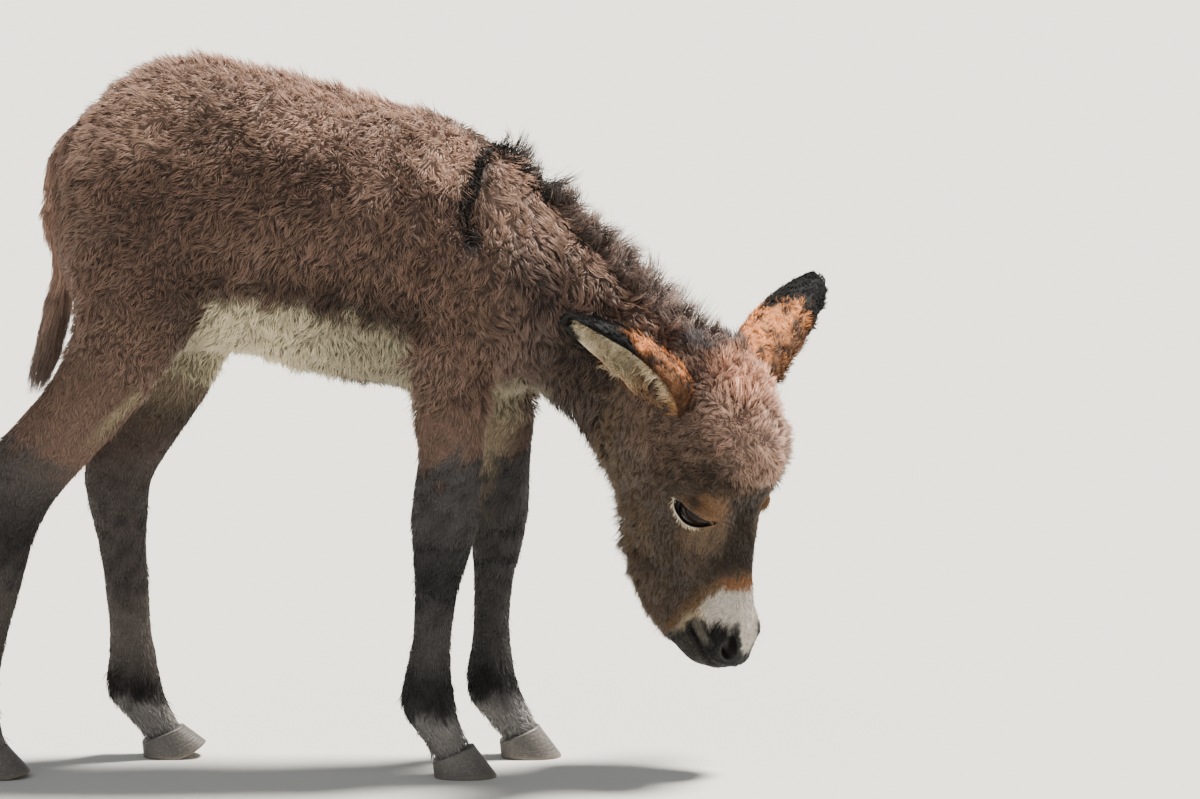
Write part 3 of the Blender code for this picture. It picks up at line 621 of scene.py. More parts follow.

# Ovals on the side of the head: two places, then the half sizes along them.
# The crease ovals hold painted shade in the folds and hollows between eye and muzzle, beside the bridge of
# the nose.
CREASE_ASIDE = (0.029, 0.222, 0.008, 0.013)  # aside, along
CREASES_FORWARD = ((0.018, 0.234, 0.007, 0.009), (0.008, 0.2535, 0.006, 0.007))  # forward, along
EYE_CORNER = (0.048, 0.162, 0.019, 0.021)  # aside, along
UNDER_EYE = (0.022, 0.192, 0.024, 0.014)  # forward, along


def tint(colour, other, share):
    """Moves colours (n, 3) towards another colour by a share (n)."""
    share = np.clip(np.asarray(share), 0, 1)[:, None]
    return colour * (1 - share) + np.asarray(other) * share


def painted(colour, *layers):
    """The colours after each layer, a colour and its share, is laid over them in turn."""
    for other, share in layers:
        colour = tint(colour, other, share)
    return colour


def evenly(colour, points):
    """The same colour for every point."""
    return np.tile(colour, (len(points), 1))


def oval(one, other, shape):
    """How far places lie from an oval's middle, where 1 is on the oval."""
    return np.hypot((one - shape[0]) / shape[2], (other - shape[1]) / shape[3])


def tint_muzzle(colour, local, fine):
    """Pale fur that turns to grey and then black skin towards lips and nostrils, with painted shade along
    the mouth line and in the creases behind the nostrils' wings.
    """
    aside, forward, along = local.T
    before_lip = forward - np.interp(along, MOUTH[:, 1], MOUTH[:, 0])
    between = smoothstep(0.019, 0.014, np.abs(aside) + 0.0012 * fine) * smoothstep(0.020, 0.032, forward)
    start = np.interp(forward, *DARK_EDGE) + 0.034 * between
    grey = smoothstep(start - 0.008, start + 0.001, along + 0.002 * fine)
    dark = smoothstep(start - 0.003, start + 0.005, along + 0.0025 * fine)
    dark *= 1 - 0.12 * smoothstep(0.002, -0.006, before_lip)
    ridge = smoothstep(0.0070, 0.0030, np.abs(before_lip - 0.0115)) * smoothstep(0.320, 0.300, along)
    dark *= 1 - 0.75 * ridge
    # Dark lips, darkest along the line between them, where it is painted shade.
    gap = line_gap(local[:, 1:], MOUTH)
    lips = smoothstep(0.0075, 0.0020, gap + 0.001 * fine) * smoothstep(0.283, 0.293, along)
    dark = np.maximum(dark, lips)
    for _, sign in SIDES:
        ring, u, v, _ = nostril_ring(local, sign)
        dark = np.maximum(dark, smoothstep(2.1, 1.25, ring + 0.12 * fine))
        # painted shade in the crease behind the nostril's wing
        dark = np.maximum(dark, 0.95 * wing_crease(u, v) * (ring < 8))
    return painted(colour, (NOSE_PALE, 0.85 * grey), (NOSE_GREY, dark))


def pale_rim(local):
    """Share of cream round the lower lid and the outer corner of each eye."""
    pale = np.zeros(len(local))
    for _, sign in SIDES:
        gap, u, v = lid_distance(local, sign)
        near = np.sign(local[:, 0]) == sign
        below = smoothstep(0.0030, -0.0005, v) * smoothstep(0.65, 0.05, u / SLIT_HALF)
        wide = 0.0046 + 0.0007 * np.sin(u * 900)
        pale = np.maximum(pale, smoothstep(wide, 0.55 * wide, gap) * below * near)
    return pale


def crown_share(forward, along, broad, fine):
    """Share of pale hair on the woolly crown, with painted sunlight towards its front edge and painted shade
    low on its side.
    """
    wavy = forward + 0.006 * broad
    lit_from = np.interp(along, *CROWN_LIT_FROM)
    crown = smoothstep(0.158, 0.122, along + 0.006 * fine) * smoothstep(-0.055, -0.015, wavy)
    crown *= 0.25 + 0.75 * smoothstep(lit_from - 0.012, lit_from + 0.022, wavy)
    shade = 0.85 * smoothstep(0.070, 0.130, along) * smoothstep(0.086, 0.055, wavy)
    return crown * np.clip(0.90 - shade - 0.25 * np.clip(broad, 0, 1), 0, 1)


def bridge_share(side, forward, along, broad, fine):
    """Share of the dark bridge of the nose, between the eyes and the pale muzzle."""
    wide = np.interp(along, *BRIDGE_EDGE)
    bridge = smoothstep(0.134, 0.150, along + 0.004 * fine) * smoothstep(0.245, 0.222, along + 0.003 * broad)
    across = smoothstep(wide + 0.008, wide - 0.006, side + 0.003 * fine)
    return bridge * (across * smoothstep(0.020, 0.030, forward))


def head_markings(points):
    """Colours on the head."""
    local = to_head(points)
    aside, forward, along = local.T
    side = np.abs(aside)
    broad, fine, finest = drift(points, 0.030, 31), drift(points, 0.010, 32), drift(points, 0.004, 33)
    dark_patches = np.clip(broad, 0, 1)
    jaw = smoothstep(-0.035, -0.065, forward + 0.006 * broad)
    column = bump_at(forward, -0.012, 0.030) * smoothstep(0.14, 0.17, along) * smoothstep(0.28, 0.24, along)
    topknot = smoothstep(0.045, 0.015, along) * smoothstep(0.045, 0.025, side)
    topknot *= smoothstep(-0.045, -0.015, forward) * smoothstep(0.045, 0.030, forward)
    poll = smoothstep(0.070, 0.030, along) * smoothstep(0.050, 0.024, side)
    poll *= smoothstep(0.020, 0.036, forward)
    creases = oval(side, along, CREASE_ASIDE)
    for shape in CREASES_FORWARD:
        creases = np.minimum(creases, oval(forward, along, shape))
    ochre = np.where(forward > 0.004, oval(side, along, EYE_CORNER) + 0.15 * fine, 9)
    under_eye = oval(forward, along, UNDER_EYE) + 0.12 * fine
    edge = np.interp(forward, *WHITE_EDGE) + 0.0022 * fine + 0.0012 * finest
    orange = bump_at(along, edge - 0.004, 0.015) * smoothstep(0.029, 0.038, forward)
    colour = painted(
        evenly(CHEEK, points),
        (BROWN_DARK, 0.22 * dark_patches),
        (JAW_TAN, 0.6 * jaw),
        (BROWN_DARK, 0.5 * column),
        # pale crown hair with painted sunlight
        (FOREHEAD_SUNLIT, crown_share(forward, along, broad, fine)),
        (BROWN, smoothstep(0.05, -0.02, along) * 0.6),
        (TOPKNOT, 0.9 * topknot),
        (POLL_RUST, 0.65 * poll),
        # painted shade in the creases between eye and muzzle
        (BRIDGE, 0.6 * smoothstep(1.5, 0.6, creases + 0.3 * fine)),
        (EYE_CORNER_OCHRE, 0.75 * smoothstep(1.3, 0.6, ochre)),
        (UNDER_EYE_TAN, (0.50 - 0.35 * np.clip(fine, 0, 1)) * smoothstep(1.5, 0.6, under_eye)),
        (BRIDGE, 0.92 * bridge_share(side, forward, along, broad, fine)),
        (BAND_OCHRE, 0.6 * bump_at(along, edge - 0.004, 0.018)),
        (ORANGE, 0.9 * orange),
    )
    pale = smoothstep(edge - 0.001, edge + 0.003 + 0.006 * smoothstep(0.02, 0.0, forward), along)
    white = tint(evenly(WHITE, points), WHITE_SHADED, smoothstep(0.024, 0.002, forward))
    colour += (white - colour) * pale[:, None]
    colour = tint(colour, EYE_RIM_CREAM, pale_rim(local))
    return tint_muzzle(colour, local, fine)


def belly_layers(points, from_spine, middling, ragged):
    """The cream belly's share, with the colours round it and on its keel and breast."""
    x, _, z = points.T
    edge = np.interp(x, *BELLY_EDGE) + ragged
    rear, front = np.interp(from_spine, *BELLY_REAR), np.interp(from_spine, *BELLY_FRONT)
    belly = smoothstep(0.004, -0.005, z - edge) * smoothstep(rear, rear + 0.020, x + ragged)
    belly *= smoothstep(front, front - 0.014, x + ragged)
    shaggy = bump_at(z, edge + 0.016, 0.040) * smoothstep(-0.22, -0.05, x) * smoothstep(0.06, 0.03, x)
    dim = 1 - 0.50 * smoothstep(-0.13, -0.01, x) - 0.40 * smoothstep(-0.185, -0.215, x)
    keel = smoothstep(0.045, 0.020, from_spine + 0.6 * ragged) * smoothstep(-0.12, -0.05, x)
    breast = smoothstep(0.455, 0.435, z + ragged) * smoothstep(0.04, 0.07, x) * smoothstep(0.19, 0.16, x)
    breast *= smoothstep(0.052, 0.040, from_spine + ragged)
    return (
        (SHADED_BROWN, 0.85 * shaggy),
        (CREAM * dim[:, None], belly * (0.94 - 0.16 * np.clip(middling, -0.4, 1))),
        (SHADED_BROWN, 0.75 * keel * (z < edge - 0.03)),
        (CREAM * 0.55, 0.8 * breast),
    )


def body_markings(points, with_belly=True):
    """Colours on trunk, neck and legs, from their place alone, with painted sunlight along the top and
    painted light and shade on the neck's locks.
    """
    x, y, z = points.T
    broad, middling, fine = drift(points, 0.11, 21), drift(points, 0.035, 22), drift(points, 0.012, 23)
    ragged = 0.006 * middling + 0.0035 * fine
    from_spine = np.abs(y - middle("trunk")[1])
    below_crest = np.interp(x, *CREST_LINE) - z + 0.018 * broad + 0.004 * fine
    sunned = smoothstep(0.105, 0.020, below_crest)
    # Painted sunlight along the top of back, croup and neck, brighter still from the middle of the back
    # forwards.
    colour = tint(evenly(BROWN, points), BROWN_SUNLIT, 0.8 * sunned)
    colour *= 1 + (0.35 * sunned * smoothstep(-0.15, 0.0, x))[:, None]
    on_neck = smoothstep(0.08, 0.14, x)
    # Painted light and shade on the neck's locks: streaks in the sunlit brown, darker gaps between the
    # locks.
    streaks = on_neck * smoothstep(0.48, 0.58, z) * np.clip(fine + 0.5 * middling, 0, 1)
    gaps = on_neck * smoothstep(0.46, 0.56, z) * np.clip(-fine - 0.4 * middling, 0, 1)
    mottle = np.clip(0.7 * broad + 0.7 * middling, 0, 1.4) * (1 - 0.6 * sunned)
    behind_ear = bump_at(x, 0.250, 0.060) * bump_at(z, 0.522, 0.060) * np.clip(0.7 + 0.5 * middling, 0, 1)
    hip = bump_at(x, -0.235, 0.10) * bump_at(z, 0.60, 0.10)
    throat = smoothstep(0.57, 0.46, z) * smoothstep(0.12, 0.2, x)
    before_thigh = bump_at(x, -0.20, 0.07) * smoothstep(0.60, 0.545, z)
    colour = painted(
        colour,
        # painted light and shade of the neck's locks
        (BROWN_SUNLIT, 0.5 * streaks),
        (BROWN_DARK, 0.6 * gaps),
        (BROWN_DARK, 0.22 * mottle),
        (NECK_GREY, 0.55 * smoothstep(0.11, 0.17, x) * (1 - sunned)),
        (SHADED_BROWN, 0.60 * behind_ear),
        (BROWN_DARK, 0.22 * hip),
        (SHADED_BROWN, 0.65 * throat),
        (BROWN_DARK, 0.70 * before_thigh),
    )
    if with_belly:
        colour = painted(colour, *belly_layers(points, from_spine, middling, ragged))
    stripe = np.abs(x + ragged * 0.35 - np.interp(z, *CROSS_LINE))
    wide = np.interp(z, *CROSS_WIDTH)
    cross = smoothstep(wide, 0.6 * wide, stripe) * smoothstep(0.575, 0.60, z) * smoothstep(0.78, 0.73, z)
    dorsal = smoothstep(0.013, 0.005, from_spine + 0.4 * ragged) * smoothstep(0.66, 0.70, z)
    dorsal *= 0.30 + 0.60 * smoothstep(-0.02, 0.08, x)
    return tint(colour, CROSS, np.maximum(0.97 * cross, 0.8 * dorsal))


NEAR_HOCK_X = -0.398
CHARCOAL_TOPS = {  # height, depth of the fade, slope with x
    "fore_leg_right": (0.366, 0.024, 0.29),
    "fore_leg_left": (0.366, 0.024, 0.29),
    "hind_leg_right": (0.405, 0.060, -0.8),
    "hind_leg_left": (0.430, 0.130, 0.0),
}
# Dark and grey patches round the legs. The first dark band on the near fore (at 0.222), on the near hind
# (0.272) and on the far hind (0.400) is painted shadow; the dark fetlocks and the far hind's grey shank are
# the legs' own colours.
LEG_PATCHES_AND_SHADOWS = {  # round the leg: colour, strength, height, reach
    "fore_leg_right": ((CHARCOAL_DARK, 0.75, 0.222, 0.070), (CHARCOAL_DARK, 0.80, 0.100, 0.036)),
    "fore_leg_left": ((CHARCOAL_DARK, 0.80, 0.086, 0.036),),
    "hind_leg_right": ((CHARCOAL_DARK, 0.75, 0.272, 0.075), (CHARCOAL_DARK, 0.80, 0.100, 0.036)),
    "hind_leg_left": (
        (CHARCOAL_DARK, 0.60, 0.400, 0.070),
        (SHANK_GREY, 0.85, 0.145, 0.075),
        (CHARCOAL_DARK, 0.80, 0.082, 0.036),
    ),
}
# Dark creases on knee and shank: height, strength, whether they slant as the charcoal's top does.
KNEE_CREASES = (
    (0.346, 0.85, True), (0.328, 0.6, True), (0.298, 0.3, False), (0.260, 0.95, False), (0.228, 0.9, False)
)


def leg_markings(points, name):
    """Charcoal below knee and hock, with dark creases on the knee, painted shadow bands on three legs, and
    cream inside the thigh.
    """
    x, y, z = points.T
    middling, fine = drift(points, 0.030, 24), drift(points, 0.011, 25)
    ragged = 0.006 * middling + 0.003 * fine
    fore, near_side = "fore" in name, "right" in name
    low, high = corners(name)
    centre_x, centre_y = (low[0] + high[0]) / 2, (low[1] + high[1]) / 2
    inner = np.sign(centre_y - middle("trunk")[1]) * (centre_y - y) + ragged
    if fore:
        rear = np.interp(z, *FOREARM_REAR) - 0.035 * near_side
        inner = np.minimum(inner, rear - x + ragged)
    pale_from, pale_to = (0.245, 0.37) if fore else (0.36, 0.50)
    pale = smoothstep(-0.004, 0.020, inner) * smoothstep(pale_from, pale_to, z + 1.5 * ragged)
    start, spread, slope = CHARCOAL_TOPS[name]
    slant = slope * (x - (centre_x if fore else NEAR_HOCK_X))
    dark = smoothstep(start, start - spread, z - slant + 2 * ragged)
    colour = painted(
        body_markings(points, with_belly=False) * 0.80,
        (CHARCOAL, dark * (0.95 if fore else 0.80)),
        (CHARCOAL_DARK, dark * 0.42 * smoothstep(-0.1, 1.0, middling + 0.4 * fine)),
    )
    for level, strength, slants in KNEE_CREASES if fore else ():
        line = bump_at(z - slant * slants, level + 0.003 * fine, 0.005)
        colour = tint(colour, CHARCOAL_DARK, strength * line)
    # dark and grey patches round the leg, three of them painted shadow
    for other, strength, level, reach in LEG_PATCHES_AND_SHADOWS[name]:
        colour = tint(colour, other, strength * bump_at(z + ragged, level, reach))
    if near_side and not fore:
        front = bump_at(x - np.interp(z, *THIGH_FRONT), 0.0, 0.014) * smoothstep(0.36, 0.42, z)
        colour = tint(colour, THIGH_TAN, 0.75 * front)
    return painted(
        colour,
        (INNER_THIGH, (0.80 - 0.15 * np.clip(middling, -1, 1)) * pale),
        (PASTERN_GREY, 0.80 * smoothstep(0.078, 0.055, z + ragged)),
    )


def coat_colour(points, part):
    """The coat's colour at points whose part of the body is known."""
    colour = body_markings(points)
    for name in LEGS:
        chosen = part == name
        colour[chosen] = leg_markings(points[chosen], name)
    chosen = part == "head"
    colour[chosen] = head_markings(points[chosen])
    chosen = part == "tail"
    at = points[chosen]
    colour[chosen] = tint(evenly(BROWN, at), BROWN_DARK, smoothstep(0.60, 0.48, at[:, 2]))
    return colour


# ---------------------------------------------------------------- the lie of the coat
# Along the body, up, direction seen from the right (degrees from +X), length, lift.
LIE_OF_COAT = (
    (-0.33, 0.74, 215, 0.018, 44),
    (-0.22, 0.79, 190, 0.018, 48),
    (-0.05, 0.75, 205, 0.020, 46),
    (0.08, 0.71, 235, 0.022, 38),
    (-0.33, 0.60, 245, 0.014, 32),
    (-0.22, 0.66, 215, 0.017, 34),
    (-0.25, 0.50, 238, 0.013, 28),
    (-0.10, 0.66, 235, 0.019, 36),
    (-0.10, 0.54, 258, 0.019, 36),
    (0.02, 0.62, 245, 0.019, 36),
    (0.02, 0.49, 262, 0.019, 38),
    (0.08, 0.58, 262, 0.018, 34),
    (0.07, 0.46, 268, 0.013, 28),
    (0.13, 0.66, 275, 0.024, 30),
    (0.14, 0.52, 266, 0.020, 30),
    (0.20, 0.58, 285, 0.023, 30),
    (0.20, 0.46, 275, 0.019, 34),
    (0.28, 0.50, 290, 0.019, 38),
    (0.25, 0.38, 250, 0.018, 34),
)
GUIDE_REACH = 0.065  # how far from its place a row of the table tells
LIE_PASSES = 8  # of evening out where one part's lie meets the next one's
WHORL_ALONG = 0.100  # the middle of the crown's whorl, down the face


def body_lie(points, normals):
    """(direction, length, lift) of the hair on trunk and neck."""
    guides = np.array(LIE_OF_COAT)
    gap = points[:, None, (0, 2)] - guides[None, :, :2]
    weight = np.exp(-(gap**2).sum(2) / (2 * GUIDE_REACH**2)) + 1e-12
    weight /= weight.sum(1, keepdims=True)
    angle = np.radians(guides[:, 2])
    flow = np.stack((weight @ np.cos(angle), np.zeros(len(points)), weight @ np.sin(angle)), 1)
    spine = middle("trunk")[1]
    flow[:, 1] += 0.55 * np.clip((points[:, 1] - spine) / 0.03, -1, 1) * smoothstep(0.3, 0.9, normals[:, 2])
    return flow, weight @ guides[:, 3], np.radians(weight @ guides[:, 4])


def head_lie(points):
    """(direction, length, lift) of the hair on the head."""
    aside, forward, along = to_head(points).T
    count = len(points)
    down = np.tile((0.0, -0.10, 1.0), (count, 1))
    down[:, 1] -= 0.35 * smoothstep(0.02, -0.06, forward)
    whorl = np.stack((aside, np.full(count, -0.01), along - WHORL_ALONG), 1)
    crown = smoothstep(0.152, 0.128, along) * smoothstep(-0.04, 0.01, forward)
    wander = np.stack([drift(points, 0.030, seed) for seed in (51, 52, 53)], 1)
    flow = unit(down) * (1 - 0.7 * crown)[:, None] + (0.7 * unit(whorl) + 0.35 * wander) * crown[:, None]
    from_eye = np.stack((0 * aside, forward - EYE_FORWARD, along - EYE_ALONG), 1)
    by_eye = smoothstep(0.046, 0.024, np.linalg.norm(from_eye, axis=1)) * (np.abs(aside) > 0.02)
    flow = flow * (1 - 0.55 * by_eye)[:, None] + unit(from_eye) * (0.55 * by_eye)[:, None]
    length = 0.0115 + 0.0035 * crown
    length += 0.006 * smoothstep(-0.045, -0.10, forward) * smoothstep(0.28, 0.20, along)
    for goal, share in (
        (0.0080, smoothstep(0.150, 0.180, along) * smoothstep(-0.02, 0.02, forward)),  # the face's front
        (0.0058, by_eye),
        (0.0055, smoothstep(0.262, 0.290, along) * smoothstep(-0.045, -0.020, forward)),  # the muzzle
        (0.0028, smoothstep(0.302, 0.322, along)),  # the lips
    ):
        length += (goal - length) * share
    lift = 20 + 28 * crown + 8 * smoothstep(-0.06, -0.10, forward)
    lift += (15 - lift) * smoothstep(0.270, 0.300, along)
    return flow @ HEAD_TURN.T, length, np.radians(lift)


def lie_of_coat(places, normals, part):
    """The hair's direction (three columns), length and lift at places on the skin."""
    flow, length, lift = body_lie(places, normals)
    is_head = part == "head"
    flow[is_head], length[is_head], lift[is_head] = head_lie(places[is_head])
    by_tail = part == "tail"
    flow[by_tail], length[by_tail], lift[by_tail] = (-0.15, 0, -1), 0.011, np.radians(20)
    is_leg = np.isin(part, LEGS)
    height = places[is_leg, 2]
    on_pastern = smoothstep(0.095, 0.065, height)[:, None]
    flow[is_leg] = np.array((-0.22, 0, -1)) * (1 - on_pastern) + PASTERN_WAY * on_pastern
    length[is_leg] = 0.0095 + 0.0060 * smoothstep(0.32, 0.46, height) + 0.005 * bump_at(height, 0.090, 0.03)
    length[is_leg] += 0.005 * smoothstep(0.055, 0.040, height)
    lift[is_leg] = np.radians(13 + 10 * smoothstep(0.055, 0.040, height))
    return np.column_stack((flow, length, lift))


def spread_over(mesh, values, passes):
    """Evens out values held at the vertices, along the mesh's edges."""
    one, other = read(mesh.edges, "vertices", 2, np.int32).T
    count = len(mesh.vertices)
    share = np.maximum(np.bincount(one, minlength=count) + np.bincount(other, minlength=count), 1)
    values = values.copy()
    for _ in range(passes):
        for column in range(values.shape[1]):
            flat = values[:, column]
            total = np.bincount(one, flat[other], count) + np.bincount(other, flat[one], count)
            values[:, column] = (flat + total / share) / 2
    return values


class Coat:
    """What the coat is at every vertex of the skin: its lie, length, lift, colour and part."""

    def __init__(self, mesh):
        self.places = vertex_places(mesh)
        self.normals = vertex_normals(mesh)
        self.part = nearest_parts(self.places)
        lie = spread_over(mesh, lie_of_coat(self.places, self.normals, self.part), LIE_PASSES)
        self.flow, self.length, self.lift = lie[:, :3], lie[:, 3], lie[:, 4]
        self.colour = coat_colour(self.places, self.part)
        mesh.calc_loop_triangles()
        self.triangles = read(mesh.loop_triangles, "vertices", 3, np.int32)
        self.tree = BVHTree.FromPolygons(self.places.tolist(), self.triangles.tolist())

    def roots(self, density, where):
        """Scatters roots over the skin: density per square metre, by a share at each vertex."""
        corner = self.places[self.triangles]
        area = np.linalg.norm(np.cross(corner[:, 1] - corner[:, 0], corner[:, 2] - corner[:, 0]), axis=1) / 2
        wanted = area * (density * where)[self.triangles].mean(1)
        count = int(wanted.sum())
        edges = np.cumsum(wanted) / wanted.sum()
        picks = (np.arange(count) + RANDOM.random(count)) / count
        face = np.searchsorted(edges, picks)
        share = RANDOM.random((count, 2))
        over = share.sum(1) > 1
        share[over] = 1 - share[over]
        weight = np.column_stack((1 - share.sum(1), share))
        index = self.triangles[np.clip(face, 0, len(self.triangles) - 1)]
        part = self.part[index[np.arange(count), weight.argmax(1)]]

        def held(values):
            return (values[index] * weight.reshape(count, 3, *(1,) * (values.ndim - 1))).sum(1)

        place = held(self.places)
        jitter = RANDOM.normal(0, 0.10, (count, 3)) * held(self.length)[:, None]
        return {
            "place": place,
            "normal": unit(held(self.normals)),
            "flow": held(self.flow),
            "length": held(self.length),
            "lift": held(self.lift),
            "colour": coat_colour(place + jitter, part),
            "density": held(density * np.ones(len(self.places))),
            "part": part,
            "spot": unwrap(place, part),
        }


# ---------------------------------------------------------------- tufts
PATCH = 0.003  # across a tuft's patch on the unwrap
STEP_SHARES = {2: (0.42, 0.58), 3: (0.27, 0.34, 0.39)}  # of a tuft's length, from its root
STRAY_SHARE = 0.035  # of tufts that stand out of their lock
DISC_SHARE = 0.785  # of a square that a disc fills
ROOT_SINK = 0.0012  # how far a root lies under the skin
DOCK_ROWS = 15  # of the tail's stations
DOCK_INTO_RUMP = 0.022
DOCK_RADII = (0.0130, 0.0068)  # at its root and its end
CREST_RUN = unit(np.array((-0.69, 0, 0.72)))  # along the neck's crest
CREST_OUT = np.array((CREST_RUN[2], 0, -CREST_RUN[0]))


def strays_of(lock, shared):
    """How far each tuft's tone strays: by a share together with its lock, and on its own."""
    return shared * RANDOM.normal(0, 1, len(lock))[lock] + RANDOM.normal(0, 0.5, len(lock))


def lead_share(density, lock_size):
    """The share of roots that lead a lock, where locks are discs of this size."""
    return 1 / (density * DISC_SHARE * lock_size**2)


def lock_of(places, share):
    """For every root, the index of the nearest of a few roots that lead the locks."""
    leaders = np.flatnonzero(RANDOM.random(len(places)) < share)
    tree = KDTree(len(leaders))
    for order, index in enumerate(leaders):
        tree.insert(places[index], order)
    tree.balance()
    return leaders[[tree.find(spot)[1] for spot in places]]


def gathered(lines, leader, pull, length, gone):
    """The lines drawn towards those of their leaders, more and more to their tips."""
    gap = lines[leader] - lines
    reach = np.linalg.norm(gap[:, -1], axis=1)
    pull = pull * np.clip(1.5 * length / np.maximum(reach, 1e-6), 0, 1)
    drawn = lines.copy()
    drawn[:, 1:] += gap[:, 1:] * (pull[:, None] * gone**1.25)[:, :, None]
    return drawn


def kept_above(lines, tree, least):
    """The lines with every point lifted to its least height over the skin."""
    made = lines.copy()
    for row in range(1, lines.shape[1]):
        for index, point in enumerate(lines[:, row]):
            place, normal, _, _ = tree.find_nearest(Vector(point))
            short = least[index] * row / (lines.shape[1] - 1) - (Vector(point) - place).dot(normal)
            if short > 0:
                made[index, row] += np.array(normal) * short
    return made


def tuft_lines(root, steps, curl, clump, lock_size):
    """(middle lines, direction across, lock) of tufts that follow the lie of the coat.

    Each wanders with its lock and its bunch of locks, and closes towards their tips.
    """
    count = len(root["place"])
    place, normal = root["place"], root["normal"]
    share = lead_share(root["density"], lock_size)
    lock, bunch = lock_of(place, share), lock_of(place, share / 6)
    flow = unit(root["flow"] - normal * (root["flow"] * normal).sum(1, keepdims=True))
    across = np.cross(normal, flow)
    own, of_lock, of_bunch = RANDOM.normal(0, 1, (3, 4, count))
    of_lock, of_bunch = of_lock[:, lock], of_bunch[:, bunch]
    size = lock_size * 5
    swirl = curl * (drift(place, size, 5) + 0.7 * of_lock[0] + 0.7 * of_bunch[0] + 0.35 * own[0])
    bend = curl * (1.2 * drift(place, size, 6) + 0.9 * of_lock[1] + 0.4 * own[1])
    raised = 1 + 0.28 * drift(place, size, 7) + 0.22 * of_bunch[2] + 0.15 * own[2]
    lift = root["lift"] * np.clip(raised, 0.3, 1.8)
    grown = 1 + 0.12 * drift(place, size, 8) + 0.10 * of_lock[3] + 0.10 * own[3]
    length = root["length"] * np.clip(grown, 0.55, 1.35)
    stray = RANDOM.random(count) < STRAY_SHARE
    length = np.where(stray, 1.15 * length, length)
    lift = np.where(stray, lift + 0.30, lift)
    place = place - normal * np.minimum(ROOT_SINK, 0.12 * length)[:, None]
    lines = [place]
    gone = 0.0
    for part_of_length in STEP_SHARES[steps]:
        middle_of_step = gone + part_of_length / 2
        gone += part_of_length
        rise = lift * (1.30 - 0.65 * middle_of_step)
        yaw = swirl + bend * (2 * middle_of_step - 0.4)
        run = flow * np.cos(yaw)[:, None] + across * np.sin(yaw)[:, None]
        heading = run * np.cos(rise)[:, None] + normal * np.sin(rise)[:, None]
        place = place + heading * (length * part_of_length)[:, None]
        lines.append(place)
    lines = np.stack(lines, 1)
    gone = np.cumsum(STEP_SHARES[steps])
    for leader, pull in ((lock, clump), (bunch, 0.35 * clump)):
        pull = np.where(stray, 0, pull * RANDOM.uniform(0.5, 1.0, count))
        lines = gathered(lines, leader, pull, length, gone)
    return lines, across, lock


def tuft_solids(lines, across, width):
    """Spindles round the lines: a point at the root, three-sided rings and a point at the tip."""
    count, rows, _ = lines.shape
    spin = RANDOM.uniform(0, 2 * math.pi, count)
    rings = [lines[:, 0]]
    for row in range(1, rows - 1):
        heading = unit(lines[:, row + 1] - lines[:, row - 1])
        sideways = unit(np.cross(heading, np.cross(across, heading)))
        over = np.cross(heading, sideways)
        for corner in range(3):
            angle = spin + 2 * math.pi * corner / 3
            offset = sideways * np.cos(angle)[:, None] + over * 0.8 * np.sin(angle)[:, None]
            rings.append(lines[:, row] + offset * (width * 0.75 ** (row - 1))[:, None])
    rings.append(lines[:, -1])
    places = np.stack(rings, 1)
    tip = places.shape[1] - 1
    pattern = []
    for corner in range(3):
        a, b = 1 + corner, 1 + (corner + 1) % 3
        pattern.append((0, b, a))
        for _ in range(rows - 3):
            pattern += [(a, b, b + 3), (a, b + 3, a + 3)]
            a, b = a + 3, b + 3
        pattern.append((a, b, tip))
    triangles = np.array(pattern)[None] + (np.arange(count) * (tip + 1))[:, None, None]
    along = np.concatenate(((0,), np.repeat(np.arange(1, rows - 1) / (rows - 1), 3), (1,)))
    sides = np.concatenate(((0,), np.tile((-0.5, 0.5, 0.0), rows - 2), (0,)))
    return places, triangles, along, sides


def unwrap(points, part):
    """A place on a flat unwrap of the skin's own shape: round each limb, and along it."""

    def flat(one, other, shift, along):
        return np.column_stack((np.arctan2(one, other) / (2 * math.pi) + shift, along))

    trunk_middle = middle("trunk")
    spot = flat(points[:, 1] - trunk_middle[1], trunk_middle[2] - points[:, 2], 0, points[:, 0] * 1.4)
    for number, (name, hoof) in enumerate(zip(LEGS, HOOVES)):
        chosen = part == name
        low, high = corners(name)
        top, foot = (low + high) / 2, middle(hoof)
        at = points[chosen]
        share = (at[:, 2] - low[2]) / (high[2] - low[2])
        line = foot[0] + (top[0] - foot[0]) * share
        spot[chosen] = flat(at[:, 1] - top[1], at[:, 0] - line, 2 + 2 * number, share)
    for name, shift in (("head", 12), ("neck", 14)):
        chosen = part == name
        local = to_head(points[chosen])
        spot[chosen] = flat(local[:, 0], local[:, 1], shift, local[:, 2] * 2.5)
    return spot


